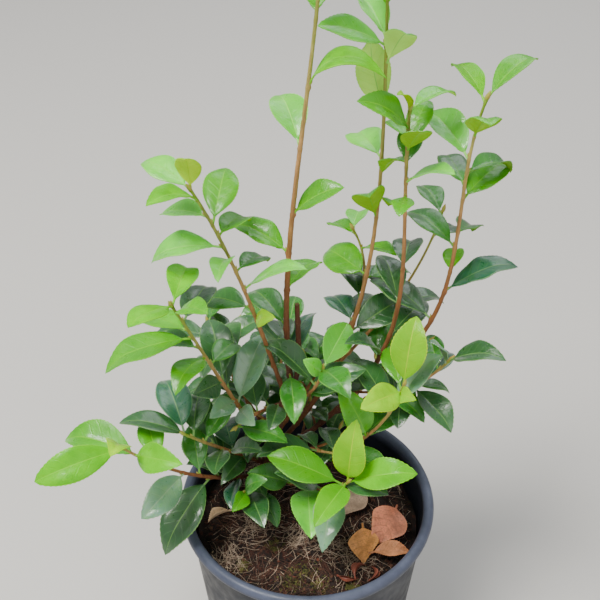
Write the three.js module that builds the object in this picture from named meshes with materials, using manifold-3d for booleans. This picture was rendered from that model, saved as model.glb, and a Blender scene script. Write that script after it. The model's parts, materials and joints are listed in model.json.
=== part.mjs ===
import * as THREE from 'three';
import * as BufferGeometryUtils from 'three/addons/utils/BufferGeometryUtils.js';
import Module from 'manifold-3d';

const wasm = await Module();
wasm.setup();

// A young camellia shrub in its black nursery pot. Millimetres, +Z up.
// The origin is the middle of the pot's flat underside; the front of the plant faces -Y.

// Gap left between neighbouring pieces
const gap = 0.3;

// Pot: a tapered tub with a rolled rim, and upright flutes that end in drain notches
const potHeight = 190;
const rimRadius = 100;
const rimWidth = 8;
const rimDepth = 12;
const bodyTopRadius = 94;
const footRadius = 79;
const potWall = 2;
const potFloor = 2.5;
const potSides = 64;
const fluteCount = 8;
const fluteTop = 168;
const fluteDepth = 6;
const fluteTopScale = 0.35;
const notchWidth = 15;
const notchHeight = 15;
const notchFrom = 62;

// Potting mix: it has sunk below the rim, most of all against the wall
const soilLevel = 164;
const soilEdgeDrop = 4;
const soilRoughness = 1.6;
const soilSides = 32;

// Trunk: flared foot set into the mix, leaning to its fork
const trunkRoute = [[-37, 30, 161], [-37, 30, 202], [-19, 30, 246], [-13, 28, 287]];
const trunkGirth = { foot: 4.4, tip: 2.9, flare: 3.2, flareShare: 0.07 };

// Leaf: half width and thickness as shares of the way from the stem to the tip
const leafStations = [0, 0.12, 0.42, 0.74, 1];
const petioleShare = 0.12;
const petioleGirth = 1.0;
const leafThickness = 1.1;

const commonSeed = 41;
const goldenTurn = 137.5;

// Limbs. from: parent and share along it; bends, tip: where the limb goes; girth: radius at foot and tip;
// enters: share where its foliage begins (0 where the leaves start on the trunk itself).
// leaves: share along the limb, compass heading, rise above level, length and, on some, roll and extra arch.
const limbs = {
  centre: {
    from: ['trunk', 1], bends: [[-24, 24, 405], [3, 25, 522]], tip: [8, 25, 640],
    girth: [2.3, 0.9], enters: 0, colour: 0x4f8a3a,
    leaves: [
      [0.02, 275, -5, 46, 5], [0.045, 70, 20, 52, -25], [0.09, 105, -5, 44], [0.15, 125, 5, 50],
      [0.25, 55, 0, 42], [0.34, 150, 15, 46], [0.43, 350, 40, 42, 30], [0.57, 105, 20, 50],
      [0.69, 350, 20, 48, 5, 0.22], [0.81, 90, 15, 50], [0.87, 250, 40, 46], [0.94, 10, 35, 42],
      [0.98, 130, 45, 38], [1, 290, 70, 26],
    ],
  },
  tallRight: {
    from: ['trunk', 0.36], bends: [[66, 72, 290], [48, 52, 461]], tip: [46, 55, 592],
    girth: [2.1, 0.9], enters: 0.31, colour: 0x5c9a3c,
    leaves: [
      [0.33, 30, 5, 50, 20], [0.35, 100, -5, 46], [0.46, 125, -5, 52, -20], [0.58, 250, 55, 46, 20],
      [0.69, 110, -5, 50], [0.77, 180, 75, 52, -85], [0.85, 290, 50, 44, -20], [0.88, 195, 25, 48, -30],
      [0.89, 110, 15, 46], [0.93, 95, 30, 52],
      [0.96, 15, 30, 44], [0.99, 215, 40, 38], [1, 60, 70, 26],
    ],
  },
  innerRight: {
    from: ['trunk', 0.28], bends: [[97, 42, 300], [61, 34, 368]], tip: [61, 25, 515],
    girth: [2.3, 1.0], enters: 0.4, colour: 0x4c8c3a,
    leaves: [
      [0.45, 50, 5, 50], [0.55, 100, 15, 50], [0.66, 75, -5, 46], [0.8, 115, -20, 40], [0.84, 260, 15, 30],
      [0.87, 315, 35, 42], [0.91, 115, -35, 36], [0.93, 285, 50, 36], [0.95, 100, -10, 40],
      [0.97, 210, 40, 46, -50], [1, 40, 0, 40], [1, 230, 55, 20],
    ],
  },
  outerRight: {
    from: ['innerRight', 0.3], bends: [[126, 39, 332], [89, 33, 445]], tip: [107, 25, 522],
    girth: [1.9, 0.9], enters: 0.24, colour: 0x458540,
    leaves: [
      [0.29, 135, 10, 60], [0.4, 5, 25, 54], [0.47, 75, -5, 36], [0.55, 130, 10, 48], [0.6, 60, -25, 42],
      [0.7, 45, 15, 48], [0.74, 105, 5, 42], [0.78, 35, -10, 42], [0.82, 115, 15, 52], [0.89, 275, 45, 42],
      [0.99, 110, 10, 46], [1, 45, 15, 52],
    ],
  },
  left: {
    from: ['trunk', 0.84], bends: [[-31, 16, 340], [-51, 19, 414]], tip: [-72, -10, 480],
    girth: [1.8, 0.9], enters: 0.34, colour: 0x4a8e45,
    leaves: [
      [0.4, 300, 50, 26, 60], [0.45, 145, -15, 48], [0.54, 350, 35, 50], [0.62, 60, -15, 40],
      [0.67, 260, 20, 36], [0.73, 170, -15, 54], [0.78, 65, -10, 40], [0.83, 80, 20, 50],
      [0.87, 145, -15, 40], [0.95, 230, 25, 46], [1, 140, 10, 42], [1, 260, 70, 32],
    ],
  },
  farLeft: {
    from: ['trunk', 0.42], bends: [[-57, 19, 272], [-71, 1, 335]], tip: [-89, -18, 396],
    girth: [1.8, 0.9], enters: 0.28, colour: 0x4a9440,
    leaves: [
      [0.3, 290, 25, 34, 25], [0.33, 60, 45, 57], [0.36, 245, 35, 36, -40], [0.42, 85, 10, 52],
      [0.48, 105, 25, 56], [0.5, 240, 25, 36, -50], [0.62, 65, -10, 40], [0.67, 245, 10, 44],
      [0.73, 145, -20, 48], [0.8, 200, -5, 63], [0.84, 145, -20, 44], [0.9, 70, 0, 48], [0.95, 310, 35, 40],
      [1, 240, 20, 44], [1, 80, 5, 44],
    ],
  },
  lowLeft: {
    from: ['trunk', 0.18], bends: [[-54, 6, 200], [-92, -28, 235]], tip: [-128, -52, 300],
    girth: [1.9, 0.9], enters: 0.34, colour: 0x5aa43a,
    leaves: [
      [0.42, 120, 0, 60, -20], [0.49, 235, -25, 66, -15], [0.66, 240, 5, 50, -40], [0.93, 318, 30, 52, 42],
      [0.9, 160, 5, 60, -15], [0.99, 205, 0, 62, -28], [1, 270, 45, 34, -20],
    ],
  },
  lowFront: {
    from: ['trunk', 0.16], bends: [[-15, 10, 192], [15, -22, 213]], tip: [29, -35, 245],
    girth: [1.8, 0.9], enters: 0.3, colour: 0x63ac32,
    leaves: [
      [0.33, 205, 40, 46, -30], [0.52, 270, 10, 56], [0.66, 195, 40, 44, -20], [0.8, 260, -5, 52],
      [0.93, 170, 20, 60], [0.9, 332, 15, 38, 15], [0.97, 245, 10, 50, -20], [0.99, 345, 28, 54, 15],
      [1, 60, 75, 52, 10],
    ],
  },
  midRight: {
    from: ['trunk', 0.2], bends: [[0, 16, 208], [55, -6, 246]], tip: [68, -4, 312],
    girth: [1.8, 0.9], enters: 0.56, colour: 0x6cab36,
    leaves: [
      [0.64, 45, 0, 50, 10], [0.67, 165, 68, 50, -45], [0.85, 125, 25, 50], [0.9, 35, 40, 49],
      [0.95, 290, 40, 26, 40], [0.97, 240, 10, 46, -25], [0.97, 95, 10, 46, -10], [1, 70, 70, 52, 10],
    ],
  },
  lowRight: {
    from: ['innerRight', 0.17], bends: [[50, 35, 258], [80, 25, 275]], tip: [104, 25, 310],
    girth: [1.7, 0.9], enters: 0.6, colour: 0x3a7440,
    leaves: [
      [0.68, 305, -10, 46], [0.8, 60, -5, 44], [0.9, 95, 10, 36], [0.97, 205, 65, 30], [1, 325, 35, 48],
    ],
  },
  backRight: {
    from: ['trunk', 0.46], bends: [[5, 68, 262], [75, 84, 292]], tip: [97, 80, 405],
    girth: [1.8, 0.8], enters: 0.5, colour: 0x2f6a3a,
    leaves: [
      [0.58, 60, -5, 48], [0.66, 20, 0, 50], [0.75, 160, 10, 46], [0.93, 50, -15, 40], [0.99, 105, 5, 40],
    ],
  },
  backCentre: {
    from: ['trunk', 0.6], bends: [[25, 70, 280], [60, 80, 335]], tip: [33, 76, 392],
    girth: [1.6, 0.8], enters: 0.45, colour: 0x4d8d42,
    leaves: [
      [0.52, 60, -5, 46], [0.62, 100, 5, 48], [0.73, 30, 0, 46], [0.9, 285, 20, 36],
      [0.97, 125, -15, 36], [1, 80, -10, 36],
    ],
  },
  sideLeft: {
    from: ['trunk', 0.26], bends: [[-50, 20, 215], [-72, 0, 245]], tip: [-90, -14, 273],
    girth: [1.8, 0.9], enters: 0.4, colour: 0x1f5a40,
    leaves: [
      [0.43, 105, -10, 50, -10], [0.48, 325, 35, 38, 20], [0.66, 120, 20, 50],
      [0.9, 90, -5, 48], [0.96, 175, 15, 51], [1, 110, 5, 60],
    ],
  },
  heartLeft: {
    from: ['trunk', 0.8], bends: [[-28, 24, 266], [-40, 12, 268]], tip: [-53, 6, 261],
    girth: [1.6, 0.9], enters: 0, colour: 0x2c6a3c, rule: { count: 3, first: 0.6, heading: 100 },
    leaves: [[0.16, 260, 10, 32, -15], [0.35, 125, 5, 46]],
  },
  heartRight: {
    from: ['trunk', 0.8], bends: [[-6, 16, 284], [6, 6, 290]], tip: [10, 4, 320],
    girth: [1.6, 0.9], enters: 0, colour: 0x3f8442, rule: { count: 3, first: 0.5, heading: 20 },
    leaves: [[0.5, 0, 45, 50, 20], [0.45, 325, 25, 36, 30], [0.95, 215, 55, 26, -60], [1, 65, 15, 46, 20]],
  },
  footFront: {
    from: ['trunk', 0.12], bends: [[-40, 10, 190], [-46, -5, 200]], tip: [-48, -14, 210],
    girth: [1.7, 0.9], enters: 0, colour: 0x2a6038,
    leaves: [[0.6, 300, 0, 42, -10], [0.72, 285, 5, 46, 10], [0.95, 315, 55, 34, 60], [1, 255, 25, 26, -25]],
  },
  heartLow: {
    from: ['trunk', 0.48], bends: [[-12, 16, 232], [4, 6, 234]], tip: [20, -2, 240],
    girth: [1.6, 0.9], enters: 0, colour: 0x2a643a, rule: { count: 3, first: 0.5, heading: 60 },
    leaves: [[0.75, 115, -30, 34], [1, 100, -10, 36, 20]],
  },
  backLeft: {
    from: ['trunk', 0.5], bends: [[-50, 55, 240], [-68, 72, 268]], tip: [-78, 80, 300],
    girth: [1.8, 0.9], enters: 0.36, colour: 0x2d6840, rule: { count: 9, first: 0.42, heading: 60 },
  },
  backLow: {
    from: ['trunk', 0.38], bends: [[-34, 62, 226], [-22, 96, 236]], tip: [-16, 110, 264],
    girth: [1.7, 0.9], enters: 0.36, colour: 0x2a643a, rule: { count: 8, first: 0.42, heading: 200 },
  },
  backLowRight: {
    from: ['trunk', 0.26], bends: [[-6, 56, 204], [44, 80, 214]], tip: [66, 92, 252],
    girth: [1.7, 0.9], enters: 0.44, colour: 0x2f6c3c, rule: { count: 7, first: 0.5, heading: 330 },
  },
};

// A pruned shoot beside the centre leader
const stub = {
  from: ['trunk', 0.95], bends: [[-4, 27, 290], [-7, 27, 320]], tip: [-8, 27, 362], girth: [2.1, 1.8],
};

// Fallen leaves on the mix. arch: share of the length by which the middle stands up
const fallenLeaves = [
  { foot: [51, 27], heading: 230, length: 40, arch: 0.05, roll: 0, colour: 0x8d6a5e },
  { foot: [74, 7], heading: 241, length: 46, arch: 0.12, roll: -12, colour: 0xb0603f },
  { foot: [44, -10], heading: 272, length: 38, arch: 0.1, roll: 25, colour: 0xa8682c },
  { foot: [47, -43], heading: 7, length: 32, arch: 0.1, roll: 10, colour: 0xb4703a },
  { foot: [-61, 5], heading: 215, length: 22, arch: 0.08, roll: 0, colour: 0xb08a5c },
];

// Turns, aside and upward in degrees, that a leaf tries in this order until it is clear
const turns = [
  [0, 0], [0, 10], [0, -10], [14, 0], [-14, 0], [14, 10], [-14, 10], [0, 20], [28, 0], [-28, 0],
  [28, 12], [-28, 12], [42, 0], [-42, 0], [0, 32],
];

// Seeded random numbers, so that the plant grows the same way each time
let seed = commonSeed;
function random() {
  seed = (seed * 1664525 + 1013904223) % 4294967296;
  return seed / 4294967296;
}

function between(low, high) {
  return low + (high - low) * random();
}

// A three.js geometry as a closed solid, faces outward
function solid(geometry) {
  const shape = geometry.clone();
  for (const name of Object.keys(shape.attributes)) {
    if (name !== 'position') {
      shape.deleteAttribute(name);
    }
  }
  const merged = BufferGeometryUtils.mergeVertices(shape, 1e-4);
  const corners = merged.index.array;
  const triangles = [];
  for (let i = 0; i < corners.length; i += 3) {
    const [a, b, c] = corners.slice(i, i + 3);
    if (a !== b && b !== c && c !== a) {
      triangles.push(a, b, c);
    }
  }
  return new wasm.Manifold(new wasm.Mesh({
    numProp: 3,
    vertProperties: new Float32Array(merged.attributes.position.array),
    triVerts: new Uint32Array(triangles),
  }));
}

// The largest body of a shape, without the scraps that a cut leaves
function whole(shape) {
  return shape.decompose().sort((a, b) => b.volume() - a.volume())[0];
}

// A solid as a named mesh with its own colour
function piece(name, shape, colour, roughness) {
  const cut = shape.getMesh();
  const geometry = new THREE.BufferGeometry();
  geometry.setAttribute('position', new THREE.BufferAttribute(new Float32Array(cut.vertProperties), 3));
  geometry.setIndex(new THREE.BufferAttribute(new Uint32Array(cut.triVerts), 1));
  geometry.computeVertexNormals();
  const material = new THREE.MeshStandardMaterial({ color: colour, roughness, metalness: 0 });
  const mesh = new THREE.Mesh(geometry, material);
  mesh.name = name;
  return mesh;
}

// Moves every point of a geometry by a rule
function reshape(geometry, rule) {
  const at = geometry.attributes.position;
  const point = new THREE.Vector3();
  for (let i = 0; i < at.count; i += 1) {
    rule(point.fromBufferAttribute(at, i));
    at.setXYZ(i, point.x, point.y, point.z);
  }
  return geometry;
}

// Pot wall: the flutes fold it inward, deep and wide at the foot, fading out under the rim
function fold(point) {
  const reach = Math.hypot(point.x, point.y);
  if (reach < footRadius / 2) {
    return;
  }
  const lobe = 2 * Math.PI / fluteCount;
  const step = lobe / 8;
  const rise = Math.min(point.z / fluteTop, 1);
  const angle = Math.atan2(point.y, point.x);
  const middle = Math.round(angle / lobe) * lobe;
  const steps = (angle - middle) / step;
  const scale = THREE.MathUtils.lerp(1, fluteTopScale, rise);
  const near = Math.min(Math.abs(steps), 2) * scale;
  const far = Math.max(Math.abs(steps) - 2, 0) * (2 - scale);
  const depth = fluteDepth * (1 - rise) * (1 - Math.min(Math.abs(steps) / 2, 1));
  const turned = middle + Math.sign(steps) * (near + far) * step;
  point.set((reach - depth) * Math.cos(turned), (reach - depth) * Math.sin(turned), point.z);
}

function bodyRadius(height) {
  return THREE.MathUtils.lerp(footRadius, bodyTopRadius, height / (potHeight - rimDepth));
}

function makePot() {
  const rimFoot = potHeight - rimDepth;
  const inner = rimRadius - rimWidth;
  const outline = [
    [0, 0], [footRadius, 0], [bodyRadius(fluteTop), fluteTop], [bodyTopRadius, rimFoot],
    [rimRadius - 1.2, rimFoot + 1], [rimRadius, rimFoot + 5], [rimRadius - 0.8, potHeight - 2.2],
    [rimRadius - 3.6, potHeight], [inner + 1.6, potHeight - 0.6], [inner, potHeight - 3.2],
    [bodyTopRadius - potWall, rimFoot], [bodyRadius(fluteTop) - potWall, fluteTop],
    [bodyRadius(potFloor) - potWall, potFloor], [0, potFloor],
  ];
  const lathe = new THREE.LatheGeometry(outline.map(([r, z]) => new THREE.Vector2(r, z)), potSides);
  lathe.rotateX(Math.PI / 2);
  let pot = solid(reshape(lathe, fold));
  const arch = new THREE.Shape();
  arch.moveTo(-notchWidth / 2, -1);
  arch.lineTo(notchWidth / 2, -1);
  arch.lineTo(notchWidth / 2, notchHeight / 2);
  arch.quadraticCurveTo(notchWidth / 2, notchHeight, 0, notchHeight);
  arch.quadraticCurveTo(-notchWidth / 2, notchHeight, -notchWidth / 2, notchHeight / 2);
  const notch = new THREE.ExtrudeGeometry(arch, {
    depth: footRadius - notchFrom + 10, bevelEnabled: false, curveSegments: 3,
  });
  notch.rotateX(Math.PI / 2);
  notch.rotateZ(Math.PI);
  notch.translate(0, notchFrom, 0);
  for (let i = 0; i < fluteCount; i += 1) {
    const cut = notch.clone().rotateZ(i * 2 * Math.PI / fluteCount);
    pot = pot.subtract(solid(cut));
  }
  return pot;
}

// Potting mix: fills the pot inside its flutes, with an uneven top
function makeSoil(trunkClearance) {
  const clear = potWall + gap;
  const footReach = footRadius - fluteDepth - clear - 1;
  const topReach = bodyRadius(soilLevel) - clear - 2.5;
  const edge = soilLevel - soilEdgeDrop;
  const outline = [
    [0, potFloor + gap], [footReach, potFloor + gap], [topReach, edge], [topReach * 0.86, soilLevel - 0.8],
    [topReach * 0.6, soilLevel], [topReach * 0.3, soilLevel], [0, soilLevel],
  ];
  const lathe = new THREE.LatheGeometry(outline.map(([r, z]) => new THREE.Vector2(r, z)), soilSides);
  lathe.rotateX(Math.PI / 2);
  reshape(lathe, (point) => {
    if (point.z > edge - 1) {
      const wave = Math.sin(point.x * 0.31 + point.y * 0.17) + Math.sin(point.y * 0.27 - point.x * 0.12 + 2);
      point.z += soilRoughness * 0.5 * wave;
    }
  });
  return solid(lathe).subtract(trunkClearance);
}

const up = new THREE.Vector3(0, 0, 1);

// A round limb that follows a route between two shares of its length
function limbSolid(route, girthAt, sides, from, to) {
  const steps = Math.max(3, Math.ceil(route.getLength() * (to - from) / 24));
  const tube = new THREE.CylinderGeometry(1, 1, 1, sides, steps).rotateX(Math.PI / 2);
  const turn = new THREE.Quaternion();
  return solid(reshape(tube, (point) => {
    const share = from + (to - from) * (point.z + 0.5);
    turn.setFromUnitVectors(up, route.getTangent(THREE.MathUtils.clamp(share, 0, 1)));
    point.setZ(0).multiplyScalar(girthAt(share)).applyQuaternion(turn).add(route.getPoint(share));
  }));
}

function routeOf([foot, first, second, tip]) {
  return new THREE.CubicBezierCurve3(...[foot, first, second, tip].map((p) => new THREE.Vector3(...p)));
}

// Half width of a blade along its length, widest before the middle and drawn out to a point
function bladeWidth(share) {
  const blade = Math.max(share - petioleShare, 0) / (1 - petioleShare);
  return Math.sin(Math.PI * blade ** 0.88) ** 0.8;
}

// One leaf: a stalk sunk in the stem, then a thin blade, folded along its midrib and arched to its tip
function leafGeometry(leaf, start) {
  const cone = new THREE.ConeGeometry(1, 1, 4, leafStations.length - 1);
  return reshape(cone, (point) => {
    const tier = Math.round((point.y + 0.5) * (leafStations.length - 1));
    const share = Math.max(leafStations[tier], start);
    const side = Math.abs(point.x) > 1e-6 ? Math.sign(point.x) : 0;
    const face = Math.abs(point.z) > 1e-6 ? Math.sign(point.z) : 0;
    const stalk = share < petioleShare + 0.01;
    const wide = share === 1 ? 0 : Math.max(petioleGirth, leaf.width / 2 * bladeWidth(share));
    const thick = share === 1 ? 0 : (stalk ? petioleGirth : leafThickness / 2);
    const rise = leaf.length * leaf.arch * 4 * share * (1 - share);
    const lift = stalk ? 0 : wide * Math.sin(leaf.fold);
    const reach = stalk ? wide : wide * Math.cos(leaf.fold);
    point.set(side * reach, leaf.length * share, rise + Math.abs(side) * lift + face * thick);
  });
}

function leafSolid(leaf, start = 0) {
  const heading = THREE.MathUtils.degToRad(leaf.heading);
  const climb = THREE.MathUtils.degToRad(leaf.rise);
  const forward = new THREE.Vector3(
    Math.cos(climb) * Math.cos(heading), Math.cos(climb) * Math.sin(heading), Math.sin(climb));
  const side = new THREE.Vector3(Math.sin(heading), -Math.cos(heading), 0);
  const top = new THREE.Vector3().crossVectors(side, forward);
  const frame = new THREE.Matrix4().makeBasis(side, forward, top);
  const roll = new THREE.Matrix4().makeRotationY(THREE.MathUtils.degToRad(leaf.roll));
  const geometry = leafGeometry(leaf, start).applyMatrix4(roll).applyMatrix4(frame);
  return solid(geometry.translate(leaf.foot.x, leaf.foot.y, leaf.foot.z));
}

// The leaves of a limb: chosen ones, and where only a rule is given, a spiral up the stem
function leavesOf(limb) {
  const rows = [...(limb.leaves ?? [])];
  if (limb.rule) {
    const { count, first, heading } = limb.rule;
    for (let i = 0; i < count; i += 1) {
      const share = first + (1 - first) * i / (count - 1);
      const rise = between(-8, 30);
      rows.push([share, (heading + i * goldenTurn) % 360, rise, between(40, 54)]);
    }
  }
  return rows.map(([share, heading, rise, length, roll = 0, arch = 0]) => ({
    share, heading, rise, length,
    width: length * between(0.46, 0.54),
    arch: arch + between(0.05, 0.12),
    fold: between(0.2, 0.55),
    roll: roll + between(-12, 12),
  }));
}

// What stands already: each with its limb's name and its solid
const standing = [];

function meets(a, b) {
  const boxA = a.boundingBox();
  const boxB = b.boundingBox();
  const apart = [0, 1, 2].some((k) => boxA.min[k] > boxB.max[k] || boxB.min[k] > boxA.max[k]);
  return !apart && a.intersect(b).volume() > 0;
}

function taper([foot, tip]) {
  return (share) => THREE.MathUtils.lerp(foot, tip, share);
}

const plant = new THREE.Group();
const routes = { trunk: routeOf(trunkRoute) };
const girths = {
  trunk: (share) => THREE.MathUtils.lerp(trunkGirth.foot, trunkGirth.tip, share)
    + trunkGirth.flare * Math.exp(-share / trunkGirth.flareShare),
};

// A limb's shape with the gap round it, for cutting what starts on it
function clearance(name) {
  const wider = (share) => girths[name](share) + gap;
  const extra = gap / routes[name].getLength();
  return limbSolid(routes[name], wider, 10, -extra, 1 + extra);
}

function stand(name, limbName, shape, colour, roughness) {
  standing.push({ limbName, shape, blade: shape });
  plant.add(piece(name, shape, colour, roughness));
}

const trunkClearance = clearance('trunk');
stand('pot', 'pot', makePot(), 0x23262b, 0.55);
stand('soil', 'soil', makeSoil(trunkClearance), 0x3a2c24, 0.95);
stand('trunk', 'trunk', limbSolid(routes.trunk, girths.trunk, 10, 0, 1), 0x6e4a34, 0.85);

// Routes of all limbs, then the boughs: the bare stretch of each from the trunk to its foliage
for (const [name, limb] of [...Object.entries(limbs), ['stub', stub]]) {
  const [parent, share] = limb.from;
  const foot = routes[parent].getPoint(share).toArray();
  routes[name] = routeOf([foot, ...limb.bends, limb.tip]);
  girths[name] = taper(limb.girth);
}
for (const [name, limb] of Object.entries(limbs)) {
  if (limb.enters > 0) {
    const bough = limbSolid(routes[name], girths[name], 7, 0, limb.enters).subtract(clearance(limb.from[0]));
    stand(`bough_${name}`, name, whole(bough), 0x7a4f33, 0.8);
  }
}
const stubShape = limbSolid(routes.stub, girths.stub, 7, 0, 1).subtract(trunkClearance);
stand('pruned_stub', 'stub', whole(stubShape.subtract(clearance('centre'))), 0x5a2f26, 0.85);

// Stems inside the foliage stand before any leaf is set, so that no leaf cuts one
const stems = {};
for (const [name, limb] of Object.entries(limbs)) {
  const start = limb.enters > 0 ? limb.enters + gap / routes[name].getLength() : 0;
  const stem = limbSolid(routes[name], girths[name], 6, start, 1);
  stems[name] = limb.enters > 0 ? stem : whole(stem.subtract(clearance(limb.from[0])));
  standing.push({ limbName: name, shape: stems[name], blade: stems[name] });
}

// Foliage: each leaf is turned a little until it is clear of all that stands, or else left out
for (const [name, limb] of Object.entries(limbs)) {
  let mass = stems[name];
  for (const leaf of leavesOf(limb)) {
    leaf.foot = routes[name].getPoint(leaf.share);
    for (const [aside, lift] of turns) {
      const turned = { ...leaf, heading: leaf.heading + aside, rise: leaf.rise + lift };
      const shape = leafSolid(turned);
      const blade = leafSolid(turned, petioleShare);
      const clear = standing.every((other) => (
        !(other.limbName === name ? meets(blade, other.blade) : meets(shape, other.shape))
      ));
      if (clear) {
        standing.push({ limbName: name, shape, blade });
        mass = mass.add(shape);
        break;
      }
    }
  }
  plant.add(piece(`foliage_${name}`, mass, limb.colour, 0.5));
}

// Fallen leaves: each sinks until it lies just clear of the mix and of what lies there already
fallenLeaves.forEach((fallen, i) => {
  const leaf = {
    ...fallen, rise: 0, fold: 0.25, width: fallen.length * 0.56,
    foot: new THREE.Vector3(fallen.foot[0], fallen.foot[1], 0),
  };
  const flat = leafSolid(leaf);
  let high = soilLevel + 30;
  let low = soilLevel - 20;
  while (high - low > 0.05) {
    const middle = (high + low) / 2;
    const lain = flat.translate([0, 0, middle]);
    if (standing.some((other) => meets(lain, other.shape))) {
      low = middle;
    } else {
      high = middle;
    }
  }
  stand(`fallen_leaf_${i + 1}`, `fallen${i}`, flat.translate([0, 0, high + gap]), fallen.colour, 0.75);
});

export default plant;
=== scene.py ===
import json
import math
import random

import bmesh
import bpy
from mathutils import Matrix, Vector, noise
from mathutils.bvhtree import BVHTree

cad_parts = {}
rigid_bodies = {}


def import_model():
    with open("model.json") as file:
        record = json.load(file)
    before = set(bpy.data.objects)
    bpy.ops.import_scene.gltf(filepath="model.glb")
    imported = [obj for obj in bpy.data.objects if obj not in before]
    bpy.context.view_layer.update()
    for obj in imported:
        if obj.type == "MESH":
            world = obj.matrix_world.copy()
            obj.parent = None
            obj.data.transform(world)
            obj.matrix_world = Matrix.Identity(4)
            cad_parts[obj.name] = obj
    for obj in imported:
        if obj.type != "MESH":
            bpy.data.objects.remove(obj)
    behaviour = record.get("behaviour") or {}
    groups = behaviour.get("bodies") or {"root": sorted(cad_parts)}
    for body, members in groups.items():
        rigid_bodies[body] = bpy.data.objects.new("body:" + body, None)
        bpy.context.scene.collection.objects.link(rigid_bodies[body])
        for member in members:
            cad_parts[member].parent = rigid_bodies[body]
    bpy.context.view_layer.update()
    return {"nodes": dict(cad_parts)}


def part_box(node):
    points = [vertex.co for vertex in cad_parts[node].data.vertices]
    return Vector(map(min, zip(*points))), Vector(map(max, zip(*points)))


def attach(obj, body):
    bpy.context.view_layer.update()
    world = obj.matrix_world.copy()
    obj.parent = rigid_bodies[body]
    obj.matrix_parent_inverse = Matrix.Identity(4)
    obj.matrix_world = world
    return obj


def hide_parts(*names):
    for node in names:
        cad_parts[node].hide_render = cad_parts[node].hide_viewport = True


# A young camellia shrub in its black nursery pot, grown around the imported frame.
# The plant is worked out in millimetres, as its tables are, and each finished piece is scaled to metres.
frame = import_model()
mm = 0.001
up = Vector((0, 0, 1))
gap = 0.3    # clear space between neighbours


# Colours are written as 0 to 255 and turned into the shader's linear values
def linear(colour):
    parts = [part / 255 for part in colour]
    return (*(part / 12.92 if part < 0.043 else ((part + 0.055) / 1.055) ** 2.4 for part in parts), 1)


def shaded(colour, strength):
    return (*(min(part * strength, 1) for part in colour[:3]), 1)


# A material and the nodes that grow in it. Inputs of a node are plain values or the outputs of other nodes.
class Finish:
    def __init__(self, name, **sockets):
        self.material = bpy.data.materials.new(name)
        self.material.use_nodes = True
        self.tree = self.material.node_tree
        self.shader = self.tree.nodes["Principled BSDF"]
        for key, value in sockets.items():
            self.shader.inputs[key.replace("_", " ")].default_value = value
        self.place = self.node("TexCoord", output="Object")

    def node(self, kind, inputs=None, output=0, **settings):
        made = self.tree.nodes.new("ShaderNode" + kind)
        for key, value in settings.items():
            setattr(made, key, value)
        for key, value in (inputs or {}).items():
            if isinstance(value, bpy.types.NodeSocket):
                self.tree.links.new(value, made.inputs[key])
            else:
                made.inputs[key].default_value = value
        return made.outputs[output]

    def maths(self, operation, first, second=0.0, third=0.0):
        return self.node("Math", {0: first, 1: second, 2: third}, operation=operation)

    def mix(self, share, first, second):
        first, second = (linear(colour) if isinstance(colour, tuple) and len(colour) == 3 else colour
                         for colour in (first, second))
        return self.node("Mix", {0: share, 6: first, 7: second}, 2, data_type="RGBA")

    def spread(self, value, low, high, start=0.0, end=1.0):
        limits = {"Value": value, "From Min": low, "From Max": high, "To Min": start, "To Max": end}
        return self.node("MapRange", limits)

    def grain(self, scale, detail=4.0, rough=0.55, twist=0.0, place=None):
        place = self.place if place is None else place
        return self.node("TexNoise", {"Vector": place, "Scale": scale, "Detail": detail, "Roughness": rough,
                                      "Distortion": twist})

    # Noise of which only the stretch from low to high is kept
    def patches(self, scale, low, high, detail=4.0, rough=0.55, start=0.0, end=1.0):
        return self.spread(self.grain(scale, detail, rough), low, high, start, end)

    def stretched(self, *scale):
        return self.node("Mapping", {0: self.place, 3: scale})

    def relief(self, height, strength, depth, **under):
        return self.node("Bump", {"Height": height, "Strength": strength, "Distance": depth, **under})

    def wear(self, **sources):
        for key, source in sources.items():
            self.tree.links.new(source, self.shader.inputs[key.replace("_", " ")])
        return self.material


# The routes of the trunk and of all limbs are Bezier curves, as in the part's source

def routePoint(route, share):
    rest = 1 - share
    foot, first, second, tip = route
    near = foot * rest ** 3 + first * (3 * rest * rest * share)
    return near + second * (3 * rest * share * share) + tip * share ** 3


def routeTangent(route, share):
    rest = 1 - share
    foot, first, second, tip = route
    slope = (first - foot) * (rest * rest) + (second - first) * (2 * rest * share)
    return (slope + (tip - second) * (share * share)).normalized()


def routeLength(route, steps=200):
    points = [routePoint(route, i / steps) for i in range(steps + 1)]
    return sum((b - a).length for a, b in zip(points, points[1:]))


trunk = {
    "route": [(-37, 30, 161), (-37, 30, 202), (-19, 30, 246), (-13, 28, 287)],
    "girth": (4.4, 2.9, 3.2, 0.07),    # radius at foot and tip, flare of the foot and how soon it fades
    "sides": 30, "step": 1.1,
}

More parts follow.
